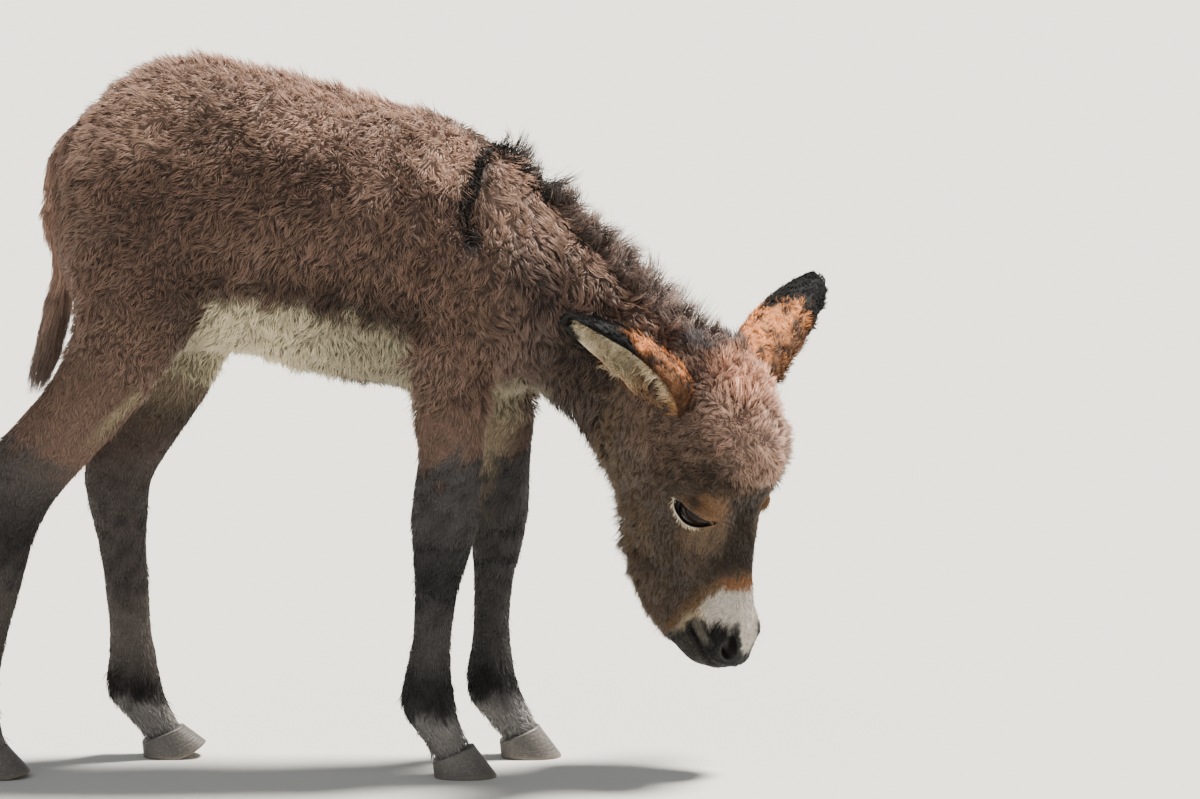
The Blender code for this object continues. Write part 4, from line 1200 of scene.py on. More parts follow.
def coat_piece(name, sets, slot, material, *stands_for):
    """One mesh of tufts from several sets of them, with their colours and their unwrap."""
    all_places, all_triangles, colours, strands, maps = [], [], [], [], []
    start = 0
    for root, (places, triangles, along, sides), strays in sets:
        count, each, _ = places.shape
        all_places.append(places.reshape(-1, 3))
        all_triangles.append(triangles.reshape(-1, 3) + start)
        start += count * each
        colours.append(np.repeat(root["colour"], each, 0))
        stray = np.repeat(strays, each)
        strands.append(np.column_stack((np.tile(along, count), stray, np.zeros(len(stray)))))
        spot = root["spot"][:, None] + PATCH * np.column_stack((sides, along - 0.5))[None]
        maps.append(spot.reshape(-1, 2))
    triangles = np.concatenate(all_triangles)
    mesh = mesh_from_arrays(name, np.concatenate(all_places), triangles)
    paint(mesh, "hair_colour", np.concatenate(colours))
    strand = mesh.attributes.new("strand", "FLOAT_VECTOR", "POINT")
    write(strand.data, "vector", np.concatenate(strands))
    write(mesh.uv_layers.new(name="OFBake").uv, "vector", np.concatenate(maps)[triangles.ravel()])
    finished_piece(name, mesh, material, slot, *stands_for)


def fitted(spots):
    """Moves unwrap places into the unit square."""
    low, high = spots.min(0), spots.max(0)
    return 0.02 + 0.96 * (spots - low) / np.maximum(high - low, 1e-6)


def take(root, chosen):
    """The chosen roots, with all that is known of them."""
    return {key: value[chosen] for key, value in root.items()}


MOST_TRIANGLES = 190000  # in one piece


def grow_coat(name, coat, root, slot, material, width, curl, clump, lock_size, steps=2):
    """Tufts on the given roots, in as many pieces as their size needs."""
    order = np.argsort(root["place"][:, 0], kind="stable")
    root = take(root, order)
    width = (width if np.isscalar(width) else width[order]) * RANDOM.uniform(0.75, 1.2, len(order))
    lines, across, lock = tuft_lines(root, steps, curl, clump, lock_size)
    lines = kept_above(lines, coat.tree, 0.55 * root["length"] * np.sin(root["lift"]))
    strays = strays_of(lock, 0.6)
    each = 6 * (steps - 1)
    pieces = max(1, math.ceil(len(lines) * each / MOST_TRIANGLES))
    cuts = np.linspace(0, len(lines), pieces + 1).astype(int)
    for number in range(pieces):
        chosen = slice(cuts[number], cuts[number + 1])
        part = take(root, chosen)
        part["spot"] = fitted(part["spot"])
        solids = tuft_solids(lines[chosen], across[chosen], width[chosen])
        label = name if pieces == 1 else f"{name}_{number + 1}"
        coat_piece(label, [(part, solids, strays[chosen])], slot, material)


# ---------------------------------------------------------------- ears
EAR_STATIONS = (0.0, 0.10, 0.25, 0.42, 0.60, 0.78, 0.90, 0.97, 1.0)
EAR_HALF_WIDTHS = (0.021, 0.027, 0.034, 0.0378, 0.0375, 0.0325, 0.0245, 0.0150, 0.005)
EAR_CURLS = ((0.0, 0.12, 0.30, 0.60, 1.0), (160, 125, 96, 78, 55))  # v, degrees to an edge
EAR_AREA = 0.013  # square metres, on one face
EAR_STEP = 0.002  # over which directions on the ear are measured
EAR_TUFTS = (
    # count, range of v, range of share, inner, length, lift, inward, width
    (7300, (-0.04, 0.99), (0.0, 1.0), False, 0.0092, 19, 0.0, 0.00040),
    (1700, (0.02, 1.0), (0.90, 1.0), False, 0.0085, 30, -0.25, 0.00032),
    (2300, (0.05, 0.92), (0.30, 0.98), True, 0.0210, 30, 0.75, 0.00036),
    (850, (0.0, 0.50), (0.80, 1.0), True, 0.0230, 34, -0.35, 0.00036),
    (850, (0.0, 0.98), (0.0, 1.0), True, 0.0090, 20, 0.10, 0.00036),
)
LONG_EAR_HAIR = 0.015  # from this length the hair inside is pale


def ear_axes(sign):
    """In head space: the ear's axis to its tip, the way it opens, and the way across."""
    axis = unit(np.array((sign * 0.93, -0.085, -0.56)))
    mouth = np.array((sign * 0.52, -0.09, 0.85))
    mouth = unit(mouth - axis * mouth.dot(axis))
    return axis, mouth, np.cross(axis, mouth)


def ear_blade(sign, v, share):
    """World places on the middle of the ear's gristle: v runs from root to tip, share from edge to edge."""
    axis, mouth, across = ear_axes(sign)
    inside = np.clip(v, 0, 1)
    half_width = np.interp(inside, EAR_STATIONS, EAR_HALF_WIDTHS)
    curl = np.radians(np.interp(inside, *EAR_CURLS))
    radius = half_width / np.sin(np.minimum(curl, math.pi / 2))
    bow = 0.014 * np.sin(math.pi * inside) - 0.010 * inside**2
    angle = curl * share
    root = np.array((sign * EAR_ROOT[0], *EAR_ROOT[1:]))
    place = root + axis * (EAR_LENGTH * v)[..., None] - mouth * bow[..., None]
    place = place + across * (radius * np.sin(angle))[..., None]
    place = place + mouth * (radius * (1 - np.cos(angle)))[..., None]
    return from_head(place)


def ear_frame(sign, v, share):
    """(place, direction to the tip, direction across, normal out of the back) on the blade."""
    place = ear_blade(sign, v, share)
    tipward = unit(ear_blade(sign, v + EAR_STEP, share) - place)
    across = unit(ear_blade(sign, v, share + EAR_STEP) - place)
    back = unit(np.cross(tipward, across))
    mouth = ear_axes(sign)[1] @ HEAD_TURN.T
    middle_line = np.zeros_like(v)
    centre = ear_blade(sign, v, middle_line)
    middle_back = np.cross(
        ear_blade(sign, v + EAR_STEP, middle_line) - centre,
        ear_blade(sign, v, middle_line + EAR_STEP) - centre,
    )
    flip = np.sign((unit(middle_back) * mouth).sum(-1, keepdims=True))
    return place, tipward, across, -back * flip


def ear_colour(v, share, inner):
    """Rust back with a black tip and a dark rim; pale inside, with painted shade in the hollow of the cup.
    """
    spots = np.column_stack((v * 0.2, share * 0.035, 0 * v))
    streak = drift(spots * (0.35, 1, 1), 0.010, 41) + 0.5 * drift(spots, 0.006, 42)
    aside = np.abs(share)
    rim = smoothstep(0.72, 0.95, aside)
    dark_foot = smoothstep(0.30, 0.80, aside + 0.1 * streak) * smoothstep(0.60, 0.45, v)
    back = painted(
        evenly(RUST, v),
        (EAR_STREAK, 0.85 * np.clip(1.4 * streak - 0.1, 0, 1) + 0.08),
        (BROWN_DARK, 0.65 * smoothstep(0.20, 0.0, v)),
        (BROWN_DARK, 0.85 * dark_foot),
        (EAR_BLACK, smoothstep(0.50, 0.62, v + 0.06 * np.cos(share * 5) + 0.03 * streak)),
        (EAR_BLACK, 0.85 * rim * smoothstep(0.36, 0.50, v)),
    )
    front = painted(
        evenly(EAR_CREAM, v),
        (EAR_FOOT_TAN, 0.8 * smoothstep(0.34, 0.10, v)),
        # painted shade in the ear's hollow, away from its rims
        (EAR_HOLLOW_SHADE, 0.85 * smoothstep(0.60, 0.20, aside)),
        (RUST * 0.5, 0.55 * smoothstep(0.90, 0.98, aside) * smoothstep(0.66, 0.50, v)),
        (EAR_BLACK, smoothstep(0.80, 0.92, v + 0.20 * rim * smoothstep(0.5, 0.8, v))),
    )
    return np.where(inner[:, None], front, back)


def make_ear(sign, word, material):
    """The gristle of an ear: a cupped blade with rounded rims, its foot inside the head."""
    rows, columns = 54, 37
    count = rows * columns
    v = np.repeat(np.linspace(-0.06, 1.0, rows), columns)
    share = np.tile(np.linspace(-1, 1, columns), rows)
    place, _, _, normal = ear_frame(sign, v, share)
    thin = EAR_GRISTLE / 2 * (1 - 0.6 * np.abs(share) ** 4) * (1 - 0.6 * smoothstep(0.8, 1.0, v))
    places = np.concatenate((place + normal * thin[:, None], place - normal * thin[:, None]))
    grid = np.arange(count).reshape(rows, columns)
    quads = quads_of(grid[:, :-1], grid[:, 1:])
    edge = np.concatenate((grid[0], grid[1:, -1], grid[-1, -2::-1], grid[-2:0:-1, 0]))
    following = np.roll(edge, -1)
    rim = np.stack((edge, edge + count, following + count, following), -1)
    faces = np.concatenate((quads, quads[:, ::-1] + count, rim))
    mesh = mesh_from_arrays("ear", places, np.empty((0, 3), int), faces)
    outward(mesh)
    inner = np.arange(2 * count) >= count
    paint(mesh, "skin_colour", ear_colour(np.tile(v, 2), np.tile(share, 2), inner) * 0.8)
    paint(mesh, "bare", np.where(inner, 0.25, 0.0)[:, None] * np.ones(3))
    finished_piece("ear_" + word + "_gristle", mesh, material, "ear_fur", "ear_" + word)


def ear_roots(sign, count, v_range, share_range, inner):
    """Places and directions of roots scattered over one face of the ear."""
    v = RANDOM.uniform(*v_range, count * 2)
    width = np.interp(v, EAR_STATIONS, EAR_HALF_WIDTHS)
    v = v[RANDOM.random(len(v)) < width / max(EAR_HALF_WIDTHS)][:count]
    share = RANDOM.uniform(*share_range, len(v)) * RANDOM.choice((-1, 1), len(v))
    place, tipward, across, normal = ear_frame(sign, v, share)
    side = -1 if inner else 1
    return v, share, place + normal * side * EAR_GRISTLE * 0.35, tipward, across, normal * side


def ear_coat(sign, word, material):
    """Short fur on the back, a fringe on the rims, and long pale hair inside."""
    sets = []
    for count, v_range, share_range, inner, length, lift, inward, width in EAR_TUFTS:
        v, share, place, tipward, across, normal = ear_roots(sign, count, v_range, share_range, inner)
        jitter = RANDOM.normal(0, 0.025, len(v))
        colour = ear_colour(v + jitter, share, np.full(len(v), inner))
        if length > LONG_EAR_HAIR:
            colour = tint(colour, EAR_CREAM, 0.7 * smoothstep(0.86, 0.75, v) * smoothstep(0.10, 0.34, v))
        shorter = 1 + 0.5 * smoothstep(0.35, 0.0, v) * (not inner) - 0.40 * smoothstep(0.6, 1.0, v)
        map_middle = 0.75 if inner else 0.25
        root = {
            "place": place,
            "normal": normal,
            "flow": tipward - across * (np.sign(share) * inward)[:, None],
            "length": length * shorter,
            "lift": np.full(len(v), math.radians(lift)),
            "colour": colour,
            "density": np.full(len(v), len(v) / EAR_AREA),
            "spot": np.column_stack((share * 0.24 + map_middle, 0.05 + 0.9 * np.clip(v, 0, 1))),
        }
        lines, across, lock = tuft_lines(root, 2, 0.35, 0.55, 0.005)
        wide = width * RANDOM.uniform(0.7, 1.2, len(v))
        strays = strays_of(lock, 0.5)
        sets.append((root, tuft_solids(lines, across, wide), strays))
    coat_piece("coat_ear_" + word, sets, "ear_fur", material)


# ---------------------------------------------------------------- eyes
EYE_BULGE = 0.055  # of the clear front, as a share of the radius


def make_eye(sign, word, material):
    """The eyeball with its clear bulge, and the place of every point across the pupil."""
    centre, slit, up, out = eye_axes(sign)
    gaze = unit(out + np.array((0, 0.10, 0)))
    slit = unit(slit - gaze * slit.dot(gaze))
    up = np.cross(gaze, slit)
    up *= -np.sign(up[2])
    rows, columns = 39, 64
    angle = np.linspace(0, math.pi, rows + 2)[1:-1]
    turn = round_turn(columns)
    bulge = 1 + EYE_BULGE * smoothstep(0.75, 0.25, angle)
    radial = np.sin(angle)[:, None] * bulge[:, None]
    w = np.cos(angle)[:, None] * bulge[:, None] * np.ones(columns)
    local = np.stack((radial * np.cos(turn), radial * np.sin(turn), w), -1).reshape(-1, 3)
    local = np.concatenate((local, [(0, 0, 1 + EYE_BULGE)], [(0, 0, -1)]))
    place = from_head(centre + EYE_RADIUS * (local @ np.stack((slit, up, gaze))))
    name = "eye_" + word + "_ball"
    mesh = closed_rings(name, place[:-2].reshape(rows, columns, 3), place[-2], place[-1])
    paint(mesh, "gaze", local * 0.5 + 0.5)
    finished_piece(name, mesh, material, "eye_wet", "eye_" + word)


# ---------------------------------------------------------------- hooves
HOOF_SHAPES = {  # length of the sole, lift of the toe
    "hoof_fore_right": (0.073, 0.0),
    "hoof_fore_left": (0.072, 0.0),
    "hoof_hind_right": (0.074, 0.006),
    "hoof_hind_left": (0.074, 0.016),
}
HOOF_HALF_WIDTH = 0.0275
CORONET_HALF_WIDTH = 0.0235
CORONET_SETBACK = 0.027
HOOF_FRONT_HEIGHT = 0.036
HOOF_HEEL_HEIGHT = 0.017
HOOF_SQUARENESS = 2.3  # 2 is an ellipse
HEEL_CUT = -0.92  # where the heel is flat, as a share of half the length
RING_RELIEF = 0.0022  # of the growth rings, as a share of the hoof's size


def make_hoof(name, material):
    """Horn from the sole to the coronet, with growth rings and a flat sole."""
    sole, lift = HOOF_SHAPES[name]
    low, high = corners(name)
    side = (low[1] + high[1]) / 2
    columns, levels = 64, np.array((0.0, 0.03, 0.08, *np.linspace(0.14, 0.92, 22), 0.97, 1.0))
    turn = round_turn(columns)
    round_way = np.stack((np.cos(turn), np.sin(turn)))
    fore, across = np.sign(round_way) * np.abs(round_way) ** (2 / HOOF_SQUARENESS)
    fore = np.maximum(fore, HEEL_CUT)
    share = (fore + 1) / 2
    height = HOOF_HEEL_HEIGHT + (HOOF_FRONT_HEIGHT - HOOF_HEEL_HEIGHT) * share
    heel = -sole - 0.001
    top_centre, top_half = (-CORONET_SETBACK + heel) / 2, (-CORONET_SETBACK - heel) / 2
    rings = []
    for level in levels:
        rounded = 1 - 0.045 * (1 - min(1.0, level / 0.08)) ** 2
        ring_relief = RING_RELIEF * math.sin(level * 46) * (0.15 < level < 0.95)
        band = 0.012 * math.exp(-(((level - 0.96) / 0.05) ** 2))
        scale = rounded * (1 + ring_relief + band)
        centre = -sole / 2 + (top_centre + sole / 2) * level
        length = (sole / 2 + (top_half - sole / 2) * level) * scale
        width = (HOOF_HALF_WIDTH + (CORONET_HALF_WIDTH - HOOF_HALF_WIDTH) * level) * scale
        curl = lift * np.clip((share - 0.55) / 0.45, 0, 1) ** 1.6 * (1 - level)
        rings.append(np.column_stack((centre + fore * length, side + across * width, height * level + curl)))
    place = np.concatenate(rings)
    place[:, 0] += high[0] - place[:, 0].max()
    place[:, 0] = np.maximum(place[:, 0], low[0])
    sole_middle = place[:columns].mean(0)
    sole_middle[0] -= sole * 0.1
    sole_middle[2] = 0
    top_middle = place[-columns:].mean(0)
    rings = place.reshape(len(levels), columns, 3)
    mesh = closed_rings(name + "_horn", rings, sole_middle, top_middle)
    level_of = np.concatenate((np.repeat(levels, columns), (0, 1)))
    paint(mesh, "horn", np.column_stack((level_of, level_of, level_of)))
    finished_piece(name + "_horn", mesh, material, "hoof_horn", name)


# ---------------------------------------------------------------- tail and mane
TAIL_TUFTS = 6500
TAIL_HAIR_WIDTH = 0.00055
MANE_DENSITY = 380000  # tufts per square metre
MANE_LOCK_SIZE = 0.012
MANE_HAIR_WIDTH = 0.00052
MANE_LOOK = 0.09  # how far off the crest the solid mane is looked for


def tail_stations():
    """(centre, radius) of the tail's solid at even heights, from its root down."""
    places = vertex_places(welded("tail"))
    low, high = corners("tail")
    levels = np.linspace(high[2] - 0.012, low[2] + 0.006, 26)
    centres, radii = [], []
    for level in levels:
        near = np.exp(-(((places[:, 2] - level) / 0.010) ** 2))
        centre = (places * near[:, None]).sum(0) / near.sum()
        centre[2] = level
        spread = np.sqrt((near * ((places[:, :2] - centre[:2]) ** 2).sum(1)).sum() / near.sum())
        centres.append(centre)
        radii.append(spread)
    return np.array(centres), np.array(radii)


def along_tail(stations, distance):
    """(centre, radius) at distances down the tail."""
    centres, radii = stations
    run = np.concatenate(((0,), np.cumsum(np.linalg.norm(np.diff(centres, axis=0), axis=1))))
    distance = np.clip(distance, 0, run[-1])
    centre = np.stack([np.interp(distance, run, centres[:, axis]) for axis in range(3)], -1)
    return centre, np.interp(distance, run, radii), run[-1]


def dock_tube():
    """The tail's dock: a tapered tube down the middle of the tail's solid, rooted in the rump."""
    centres = tail_stations()[0][:DOCK_ROWS]
    centres = np.concatenate((centres[:1] + (DOCK_INTO_RUMP, 0, 0), centres))
    radius = np.linspace(*DOCK_RADII, len(centres))
    rings = centres[:, None] + level_way(round_turn(14))[None] * radius[:, None, None]
    return closed_rings("dock", rings, centres[0], centres[-1])


def tail_coat(material):
    """Bushy hair from the dock: short and brown above, long and dark at its end."""
    stations = tail_stations()
    total = along_tail(stations, np.zeros(1))[2]
    count, steps = TAIL_TUFTS, 3
    start = total * 0.74 * RANDOM.random(count) ** 0.9
    below = start / total
    length = 0.026 + 0.058 * smoothstep(0.30, 0.62, below) * RANDOM.uniform(0.6, 1.15, count)
    length = np.minimum(length, total * 1.03 - start)
    turn = RANDOM.uniform(0, 2 * math.pi, count)
    stand = RANDOM.uniform(0.50, 1.08, count)
    wander = RANDOM.normal(0, 0.30, count)
    dock = 0.55 * np.interp(below, (0, 0.55, 1), (*DOCK_RADII, 0.003))
    lines, gone = [], np.concatenate(((0,), np.cumsum(STEP_SHARES[steps])))
    for share in gone:
        centre, radius, _ = along_tail(stations, start + length * share)
        reach = dock + (radius * stand - dock) * share**0.6
        angle = turn + wander * share
        lines.append(centre + reach[:, None] * level_way(angle))
    lines = np.stack(lines, 1)
    lock = lock_of(lines[:, 0], 0.035)
    lines = gathered(lines, lock, 0.65 * RANDOM.uniform(0.5, 1, count), length, gone[1:])
    across = np.column_stack((-np.sin(turn), np.cos(turn), 0 * turn))
    root = {
        "colour": tint(evenly(BROWN, below), TAIL_DARK, smoothstep(0.38, 0.66, below + 0.1 * wander)),
        "spot": np.column_stack((turn / (2 * math.pi) * 0.96 + 0.02, 0.02 + 0.96 * below)),
    }
    solids = tuft_solids(lines, across, TAIL_HAIR_WIDTH * RANDOM.uniform(0.7, 1.2, count))
    coat_piece("coat_tail", [(root, solids, strays_of(lock, 0.6))], "mane_coat", material, "tail")


def mane_reaches(root, heading):
    """How far each root's heading runs to the solid mane's outline, 0 where it misses it."""
    with edited(welded("mane")) as shape:
        tree = BVHTree.FromBMesh(shape)
    reaches = []
    for place, way in zip(root["place"], heading):
        hit = tree.ray_cast(Vector(place + way * MANE_LOOK), Vector(-way), MANE_LOOK - 0.002)
        reaches.append(0.0 if hit[0] is None else MANE_LOOK - hit[3])
    return np.array(reaches)


def mane_coat(coat, material):
    """Upright woolly hair along the crest, out to the solid mane's outline, in loose locks."""
    low, high = corners("mane")
    near = (coat.places[:, 0] > low[0] - 0.01) & (coat.places[:, 0] < high[0] + 0.01)
    near &= (coat.places[:, 2] > low[2] - 0.04) & (coat.normals @ CREST_OUT > 0.2)
    root = coat.roots(MANE_DENSITY, near.astype(float))
    heading = unit(CREST_OUT + 0.45 * root["normal"])
    reach = mane_reaches(root, heading)
    chosen = reach > 0.004
    root, heading, reach = take(root, chosen), heading[chosen], reach[chosen]
    count, steps = len(reach), 3
    lock = lock_of(root["place"], lead_share(root["density"], MANE_LOCK_SIZE))
    grown = RANDOM.uniform(0.95, 1.35, count) * (1 + RANDOM.normal(0, 0.20, count)[lock])
    length = reach * grown
    lean = RANDOM.normal(0, 0.22, (count, 3)) + RANDOM.normal(0, 0.24, (count, 3))[lock]
    turn = RANDOM.normal(0, 0.30, (count, 3)) + RANDOM.normal(0, 0.30, (count, 3))[lock]
    lines = [root["place"] - root["normal"] * ROOT_SINK]
    for step, part_of_length in enumerate(STEP_SHARES[steps]):
        way = unit(heading + lean * (step + 0.5) + turn * (1, -1, 1)[step])
        lines.append(lines[-1] + way * (length * part_of_length)[:, None])
    gone = np.cumsum(STEP_SHARES[steps])
    lines = gathered(np.stack(lines, 1), lock, 0.72 * RANDOM.uniform(0.5, 1, count), length, gone)
    across = unit(np.cross(heading, CREST_RUN))
    shade = RANDOM.uniform(0, 0.70, count)[lock] + RANDOM.uniform(0, 0.2, count)
    shade += 0.55 * smoothstep(0.205, 0.150, root["place"][:, 0])
    mane_colour = tint(evenly(MANE_BROWN, reach), CROSS, shade)
    deep = smoothstep(0.006, 0.020, reach)[:, None]
    root["colour"] = root["colour"] * (1 - deep) + mane_colour * deep
    root["spot"] = fitted(root["spot"])
    solids = tuft_solids(lines, across, MANE_HAIR_WIDTH * RANDOM.uniform(0.7, 1.2, count))
    coat_piece("coat_mane", [(root, solids, strays_of(lock, 0.7))], "mane_coat", material, "mane")


# ---------------------------------------------------------------- node helpers
HAIR_LOOKS = {
    # brightness at the root and at the tip, painted shade deep in the coat and painted light at the tips;
    # variation, tint of the tips, sheen
    "body_coat": (0.50, 1.28, 0.12, (1.0, 0.94, 0.90, 1), 0.12),
    "leg_coat": (1.05, 1.35, 0.10, (1.0, 0.99, 0.98, 1), 0.03),
    "mane_coat": (0.34, 2.10, 0.24, (1.0, 0.94, 0.90, 1), 0.12),
    "ear_fur": (0.50, 1.25, 0.22, (1.0, 0.95, 0.90, 1), 0.0),
}
PUPIL_HALF_SIZES = (0.40, 0.20)  # along the slit and across it, as shares of the radius


def add_sockets(tree, inputs, outputs):
    """Gives a group its sockets, and the two nodes that hold them."""
    for label, kind, value in inputs:
        kind = "NodeSocket" + kind
        socket = tree.interface.new_socket(name=label, in_out="INPUT", socket_type=kind)
        if value is not None:
            socket.default_value = value
    for label, kind in outputs:
        tree.interface.new_socket(name=label, in_out="OUTPUT", socket_type="NodeSocket" + kind)
    return tree.nodes.new("NodeGroupInput").outputs, tree.nodes.new("NodeGroupOutput").inputs


def feed(tree, socket, value):
    """Links an input to a socket, or sets it to a plain value or a named colour."""
    if isinstance(value, bpy.types.NodeSocket):
        tree.links.new(value, socket)
    elif isinstance(value, np.ndarray):
        socket.default_value = (*value, 1.0)
    else:
        socket.default_value = value


def feed_all(tree, sockets, values):
    for key, value in values.items():
        feed(tree, sockets[key], value)


def add_node(tree, kind, inputs=None, **settings):
    """The outputs of a new node, with its properties set and its inputs fed."""
    node = tree.nodes.new(kind)
    for key, value in settings.items():
        setattr(node, key, value)
    feed_all(tree, node.inputs, inputs or {})
    return node.outputs


def calc(tree, operation, one, other=0.0, clamp=False):
    """The output of a Math node; its operands are sockets or numbers."""
    return add_node(tree, "ShaderNodeMath", {0: one, 1: other}, operation=operation, use_clamp=clamp)[0]


def plus(tree, one, other, clamp=False):
    return calc(tree, "ADD", one, other, clamp)


def minus(tree, one, other, clamp=False):
    return calc(tree, "SUBTRACT", one, other, clamp)


def times(tree, one, other):
    return calc(tree, "MULTIPLY", one, other)


def length_of(tree, one, other):
    """The length of a flat vector with the two sides."""
    return calc(tree, "SQRT", plus(tree, times(tree, one, one), times(tree, other, other)))


def mix(tree, factor, one, other, blend="MIX"):
    """The colour output of a Mix node."""
    inputs = {0: factor, 6: one, 7: other}
    return add_node(tree, "ShaderNodeMix", inputs, data_type="RGBA", blend_type=blend)[2]


def grey(tree, value):
    """A colour whose three channels are the same value."""
    return add_node(tree, "ShaderNodeCombineColor", {0: value, 1: value, 2: value})[0]


def bumped(tree, height, strength, distance):
    """A normal from a relief."""
    inputs = {"Strength": strength, "Distance": distance, "Height": height}
    return add_node(tree, "ShaderNodeBump", inputs)[0]


def steps_of(tree, value, low, high):
    """A smooth rise from 0 at the low value to 1 at the high one."""
    inputs = {"Value": value, "From Min": low, "From Max": high}
    return add_node(tree, "ShaderNodeMapRange", inputs, interpolation_type="SMOOTHSTEP")["Result"]


def object_place(tree):
    return add_node(tree, "ShaderNodeTexCoord")["Object"]


def kept(tree, name, kind="Color"):
    """A colour or vector that the mesh keeps at its vertices."""
    return add_node(tree, "ShaderNodeAttribute", attribute_name=name)[kind]


def channels(tree, name):
    """The red, green and blue of a colour kept at the vertices."""
    return add_node(tree, "ShaderNodeSeparateColor", {0: kept(tree, name)})


def hair_tone_group():
    """Roots painted darker as shade and tips painted lighter as light, and strands that differ from each
    other.
    """
    tree = bpy.data.node_groups.new("hair_tone", "ShaderNodeTree")
    given, out = add_sockets(
        tree,
        (
            ("Coat", "Color", (0.2, 0.15, 0.1, 1)),
            ("Along", "Float", 0.5),
            ("Stray", "Float", 0.0),
            ("Root", "Float", 0.45),
            ("Tip", "Float", 1.25),
            ("Variation", "Float", 0.16),
            ("Tip Tint", "Color", (1, 0.9, 0.85, 1)),
        ),
        (("Color", "Color"),),
    )
    rise = calc(tree, "POWER", given["Along"], 0.8, True)
    span = minus(tree, given["Tip"], given["Root"])
    light = plus(tree, given["Root"], times(tree, rise, span))
    vary = plus(tree, 1.0, times(tree, given["Stray"], given["Variation"]))
    light = times(tree, light, calc(tree, "MAXIMUM", vary, 0.3))
    tipped = mix(tree, rise, given["Coat"], given["Tip Tint"], "MULTIPLY")
    feed(tree, out["Color"], mix(tree, 1.0, tipped, grey(tree, light), "MULTIPLY"))
    return tree


def fine_grain_group():
    """Fine relief and a matching mottle, from Object coordinates."""
    tree = bpy.data.node_groups.new("fine_grain", "ShaderNodeTree")
    given, out = add_sockets(
        tree,
        (
            ("Size", "Float", 0.001),
            ("Detail", "Float", 4.0),
            ("Stretch", "Vector", (1, 1, 1)),
        ),
        (("Height", "Float"), ("Mottle", "Float")),
    )
    inputs = {0: object_place(tree), 1: given["Stretch"]}
    place = add_node(tree, "ShaderNodeVectorMath", inputs, operation="MULTIPLY")[0]
    scale = calc(tree, "DIVIDE", 1.0, given["Size"])
    for label, factor in (("Height", 1.0), ("Mottle", 0.07)):
        inputs = {"Vector": place, "Scale": times(tree, scale, factor), "Detail": given["Detail"]}
        feed(tree, out[label], add_node(tree, "ShaderNodeTexNoise", inputs)["Fac"])
    return tree


def start_material(name):
    """(material, its tree, the inputs of its shader)"""
    material = bpy.data.materials.new(name)
    material.use_nodes = True
    tree = material.node_tree
    return material, tree, tree.nodes["Principled BSDF"].inputs


def place_group(tree, group, inputs):
    return add_node(tree, "ShaderNodeGroup", inputs, node_tree=group)


def hair_material(name, tone):
    """Hair whose colour comes with each tuft."""
    material, tree, shader = start_material(name)
    root, tip, variation, tip_tint, sheen = HAIR_LOOKS[name]
    parts = add_node(tree, "ShaderNodeSeparateXYZ", {0: kept(tree, "strand", "Vector")})
    inputs = {"Coat": kept(tree, "hair_colour"), "Along": parts["X"], "Stray": parts["Y"]}
    inputs |= {"Root": root, "Tip": tip, "Variation": variation, "Tip Tint": tip_tint}
    feed_all(tree, shader, {
        "Base Color": place_group(tree, tone, inputs)["Color"],
        "Roughness": plus(tree, 0.62, times(tree, parts["Y"], 0.06), True),
        "Specular IOR Level": 0.12,
        "Sheen Weight": sheen,
        "Sheen Roughness": 0.45,
    })
    return material


def skin_material(grain):
    """Skin under the coat: the coat's colours over a hair grain, and bare leathery places."""
    material, tree, shader = start_material("skin")
    masks = channels(tree, "bare")
    bare, wet = masks["Red"], masks["Green"]
    fur = place_group(tree, grain, {"Size": 0.0011, "Detail": 5.0, "Stretch": (1.0, 1.0, 0.35)})
    inputs = {"Vector": object_place(tree), "Scale": 620.0}
    leather = add_node(tree, "ShaderNodeTexVoronoi", inputs, feature="DISTANCE_TO_EDGE")["Distance"]
    cracks = times(tree, steps_of(tree, leather, 0.0, 0.16), times(tree, bare, 0.55))
    height = plus(tree, times(tree, fur["Height"], minus(tree, 1.0, bare, True)), cracks)
    shade = plus(tree, 0.62, times(tree, fur["Mottle"], 0.55))
    dry = minus(tree, 0.78, times(tree, bare, 0.28))
    feed_all(tree, shader, {
        "Base Color": mix(tree, 0.8, kept(tree, "skin_colour"), grey(tree, shade), "MULTIPLY"),
        "Roughness": minus(tree, dry, times(tree, wet, 0.34)),
        "Normal": bumped(tree, height, 0.55, 0.0006),
        "Specular IOR Level": 0.22,
    })
    return material


def eye_material():
    """A dark brown iris with a wide pupil across it, under a wet clear surface."""
    material, tree, shader = start_material("eye_wet")
    gaze = channels(tree, "gaze")
    u, v = (times(tree, minus(tree, gaze[name], 0.5), 2.0) for name in ("Red", "Green"))
    front = steps_of(tree, gaze["Blue"], 0.5, 0.6)
    radius = length_of(tree, u, v)
    oval_gap = length_of(tree, *(
        calc(tree, "DIVIDE", way, half) for way, half in zip((u, v), PUPIL_HALF_SIZES)
    ))
    pupil = times(tree, minus(tree, 1.0, steps_of(tree, oval_gap, 0.85, 1.1)), front)
    inputs = {"Vector": object_place(tree), "Scale": 900.0}
    streaks = add_node(tree, "ShaderNodeTexNoise", inputs)["Fac"]
    ball = mix(tree, streaks, IRIS_DARK, IRIS_BROWN)
    ball = mix(tree, steps_of(tree, radius, 0.58, 0.68), ball, IRIS_RIM)
    ball = mix(tree, steps_of(tree, radius, 0.72, 0.92), ball, EYE_OUTER)
    feed_all(tree, shader, {
        "Base Color": mix(tree, pupil, ball, PUPIL),
        "Roughness": plus(tree, 0.07, times(tree, streaks, 0.05)),
        "Coat Weight": 0.25,
        "Coat Roughness": 0.03,
        "Specular IOR Level": 0.0,
    })
    return material


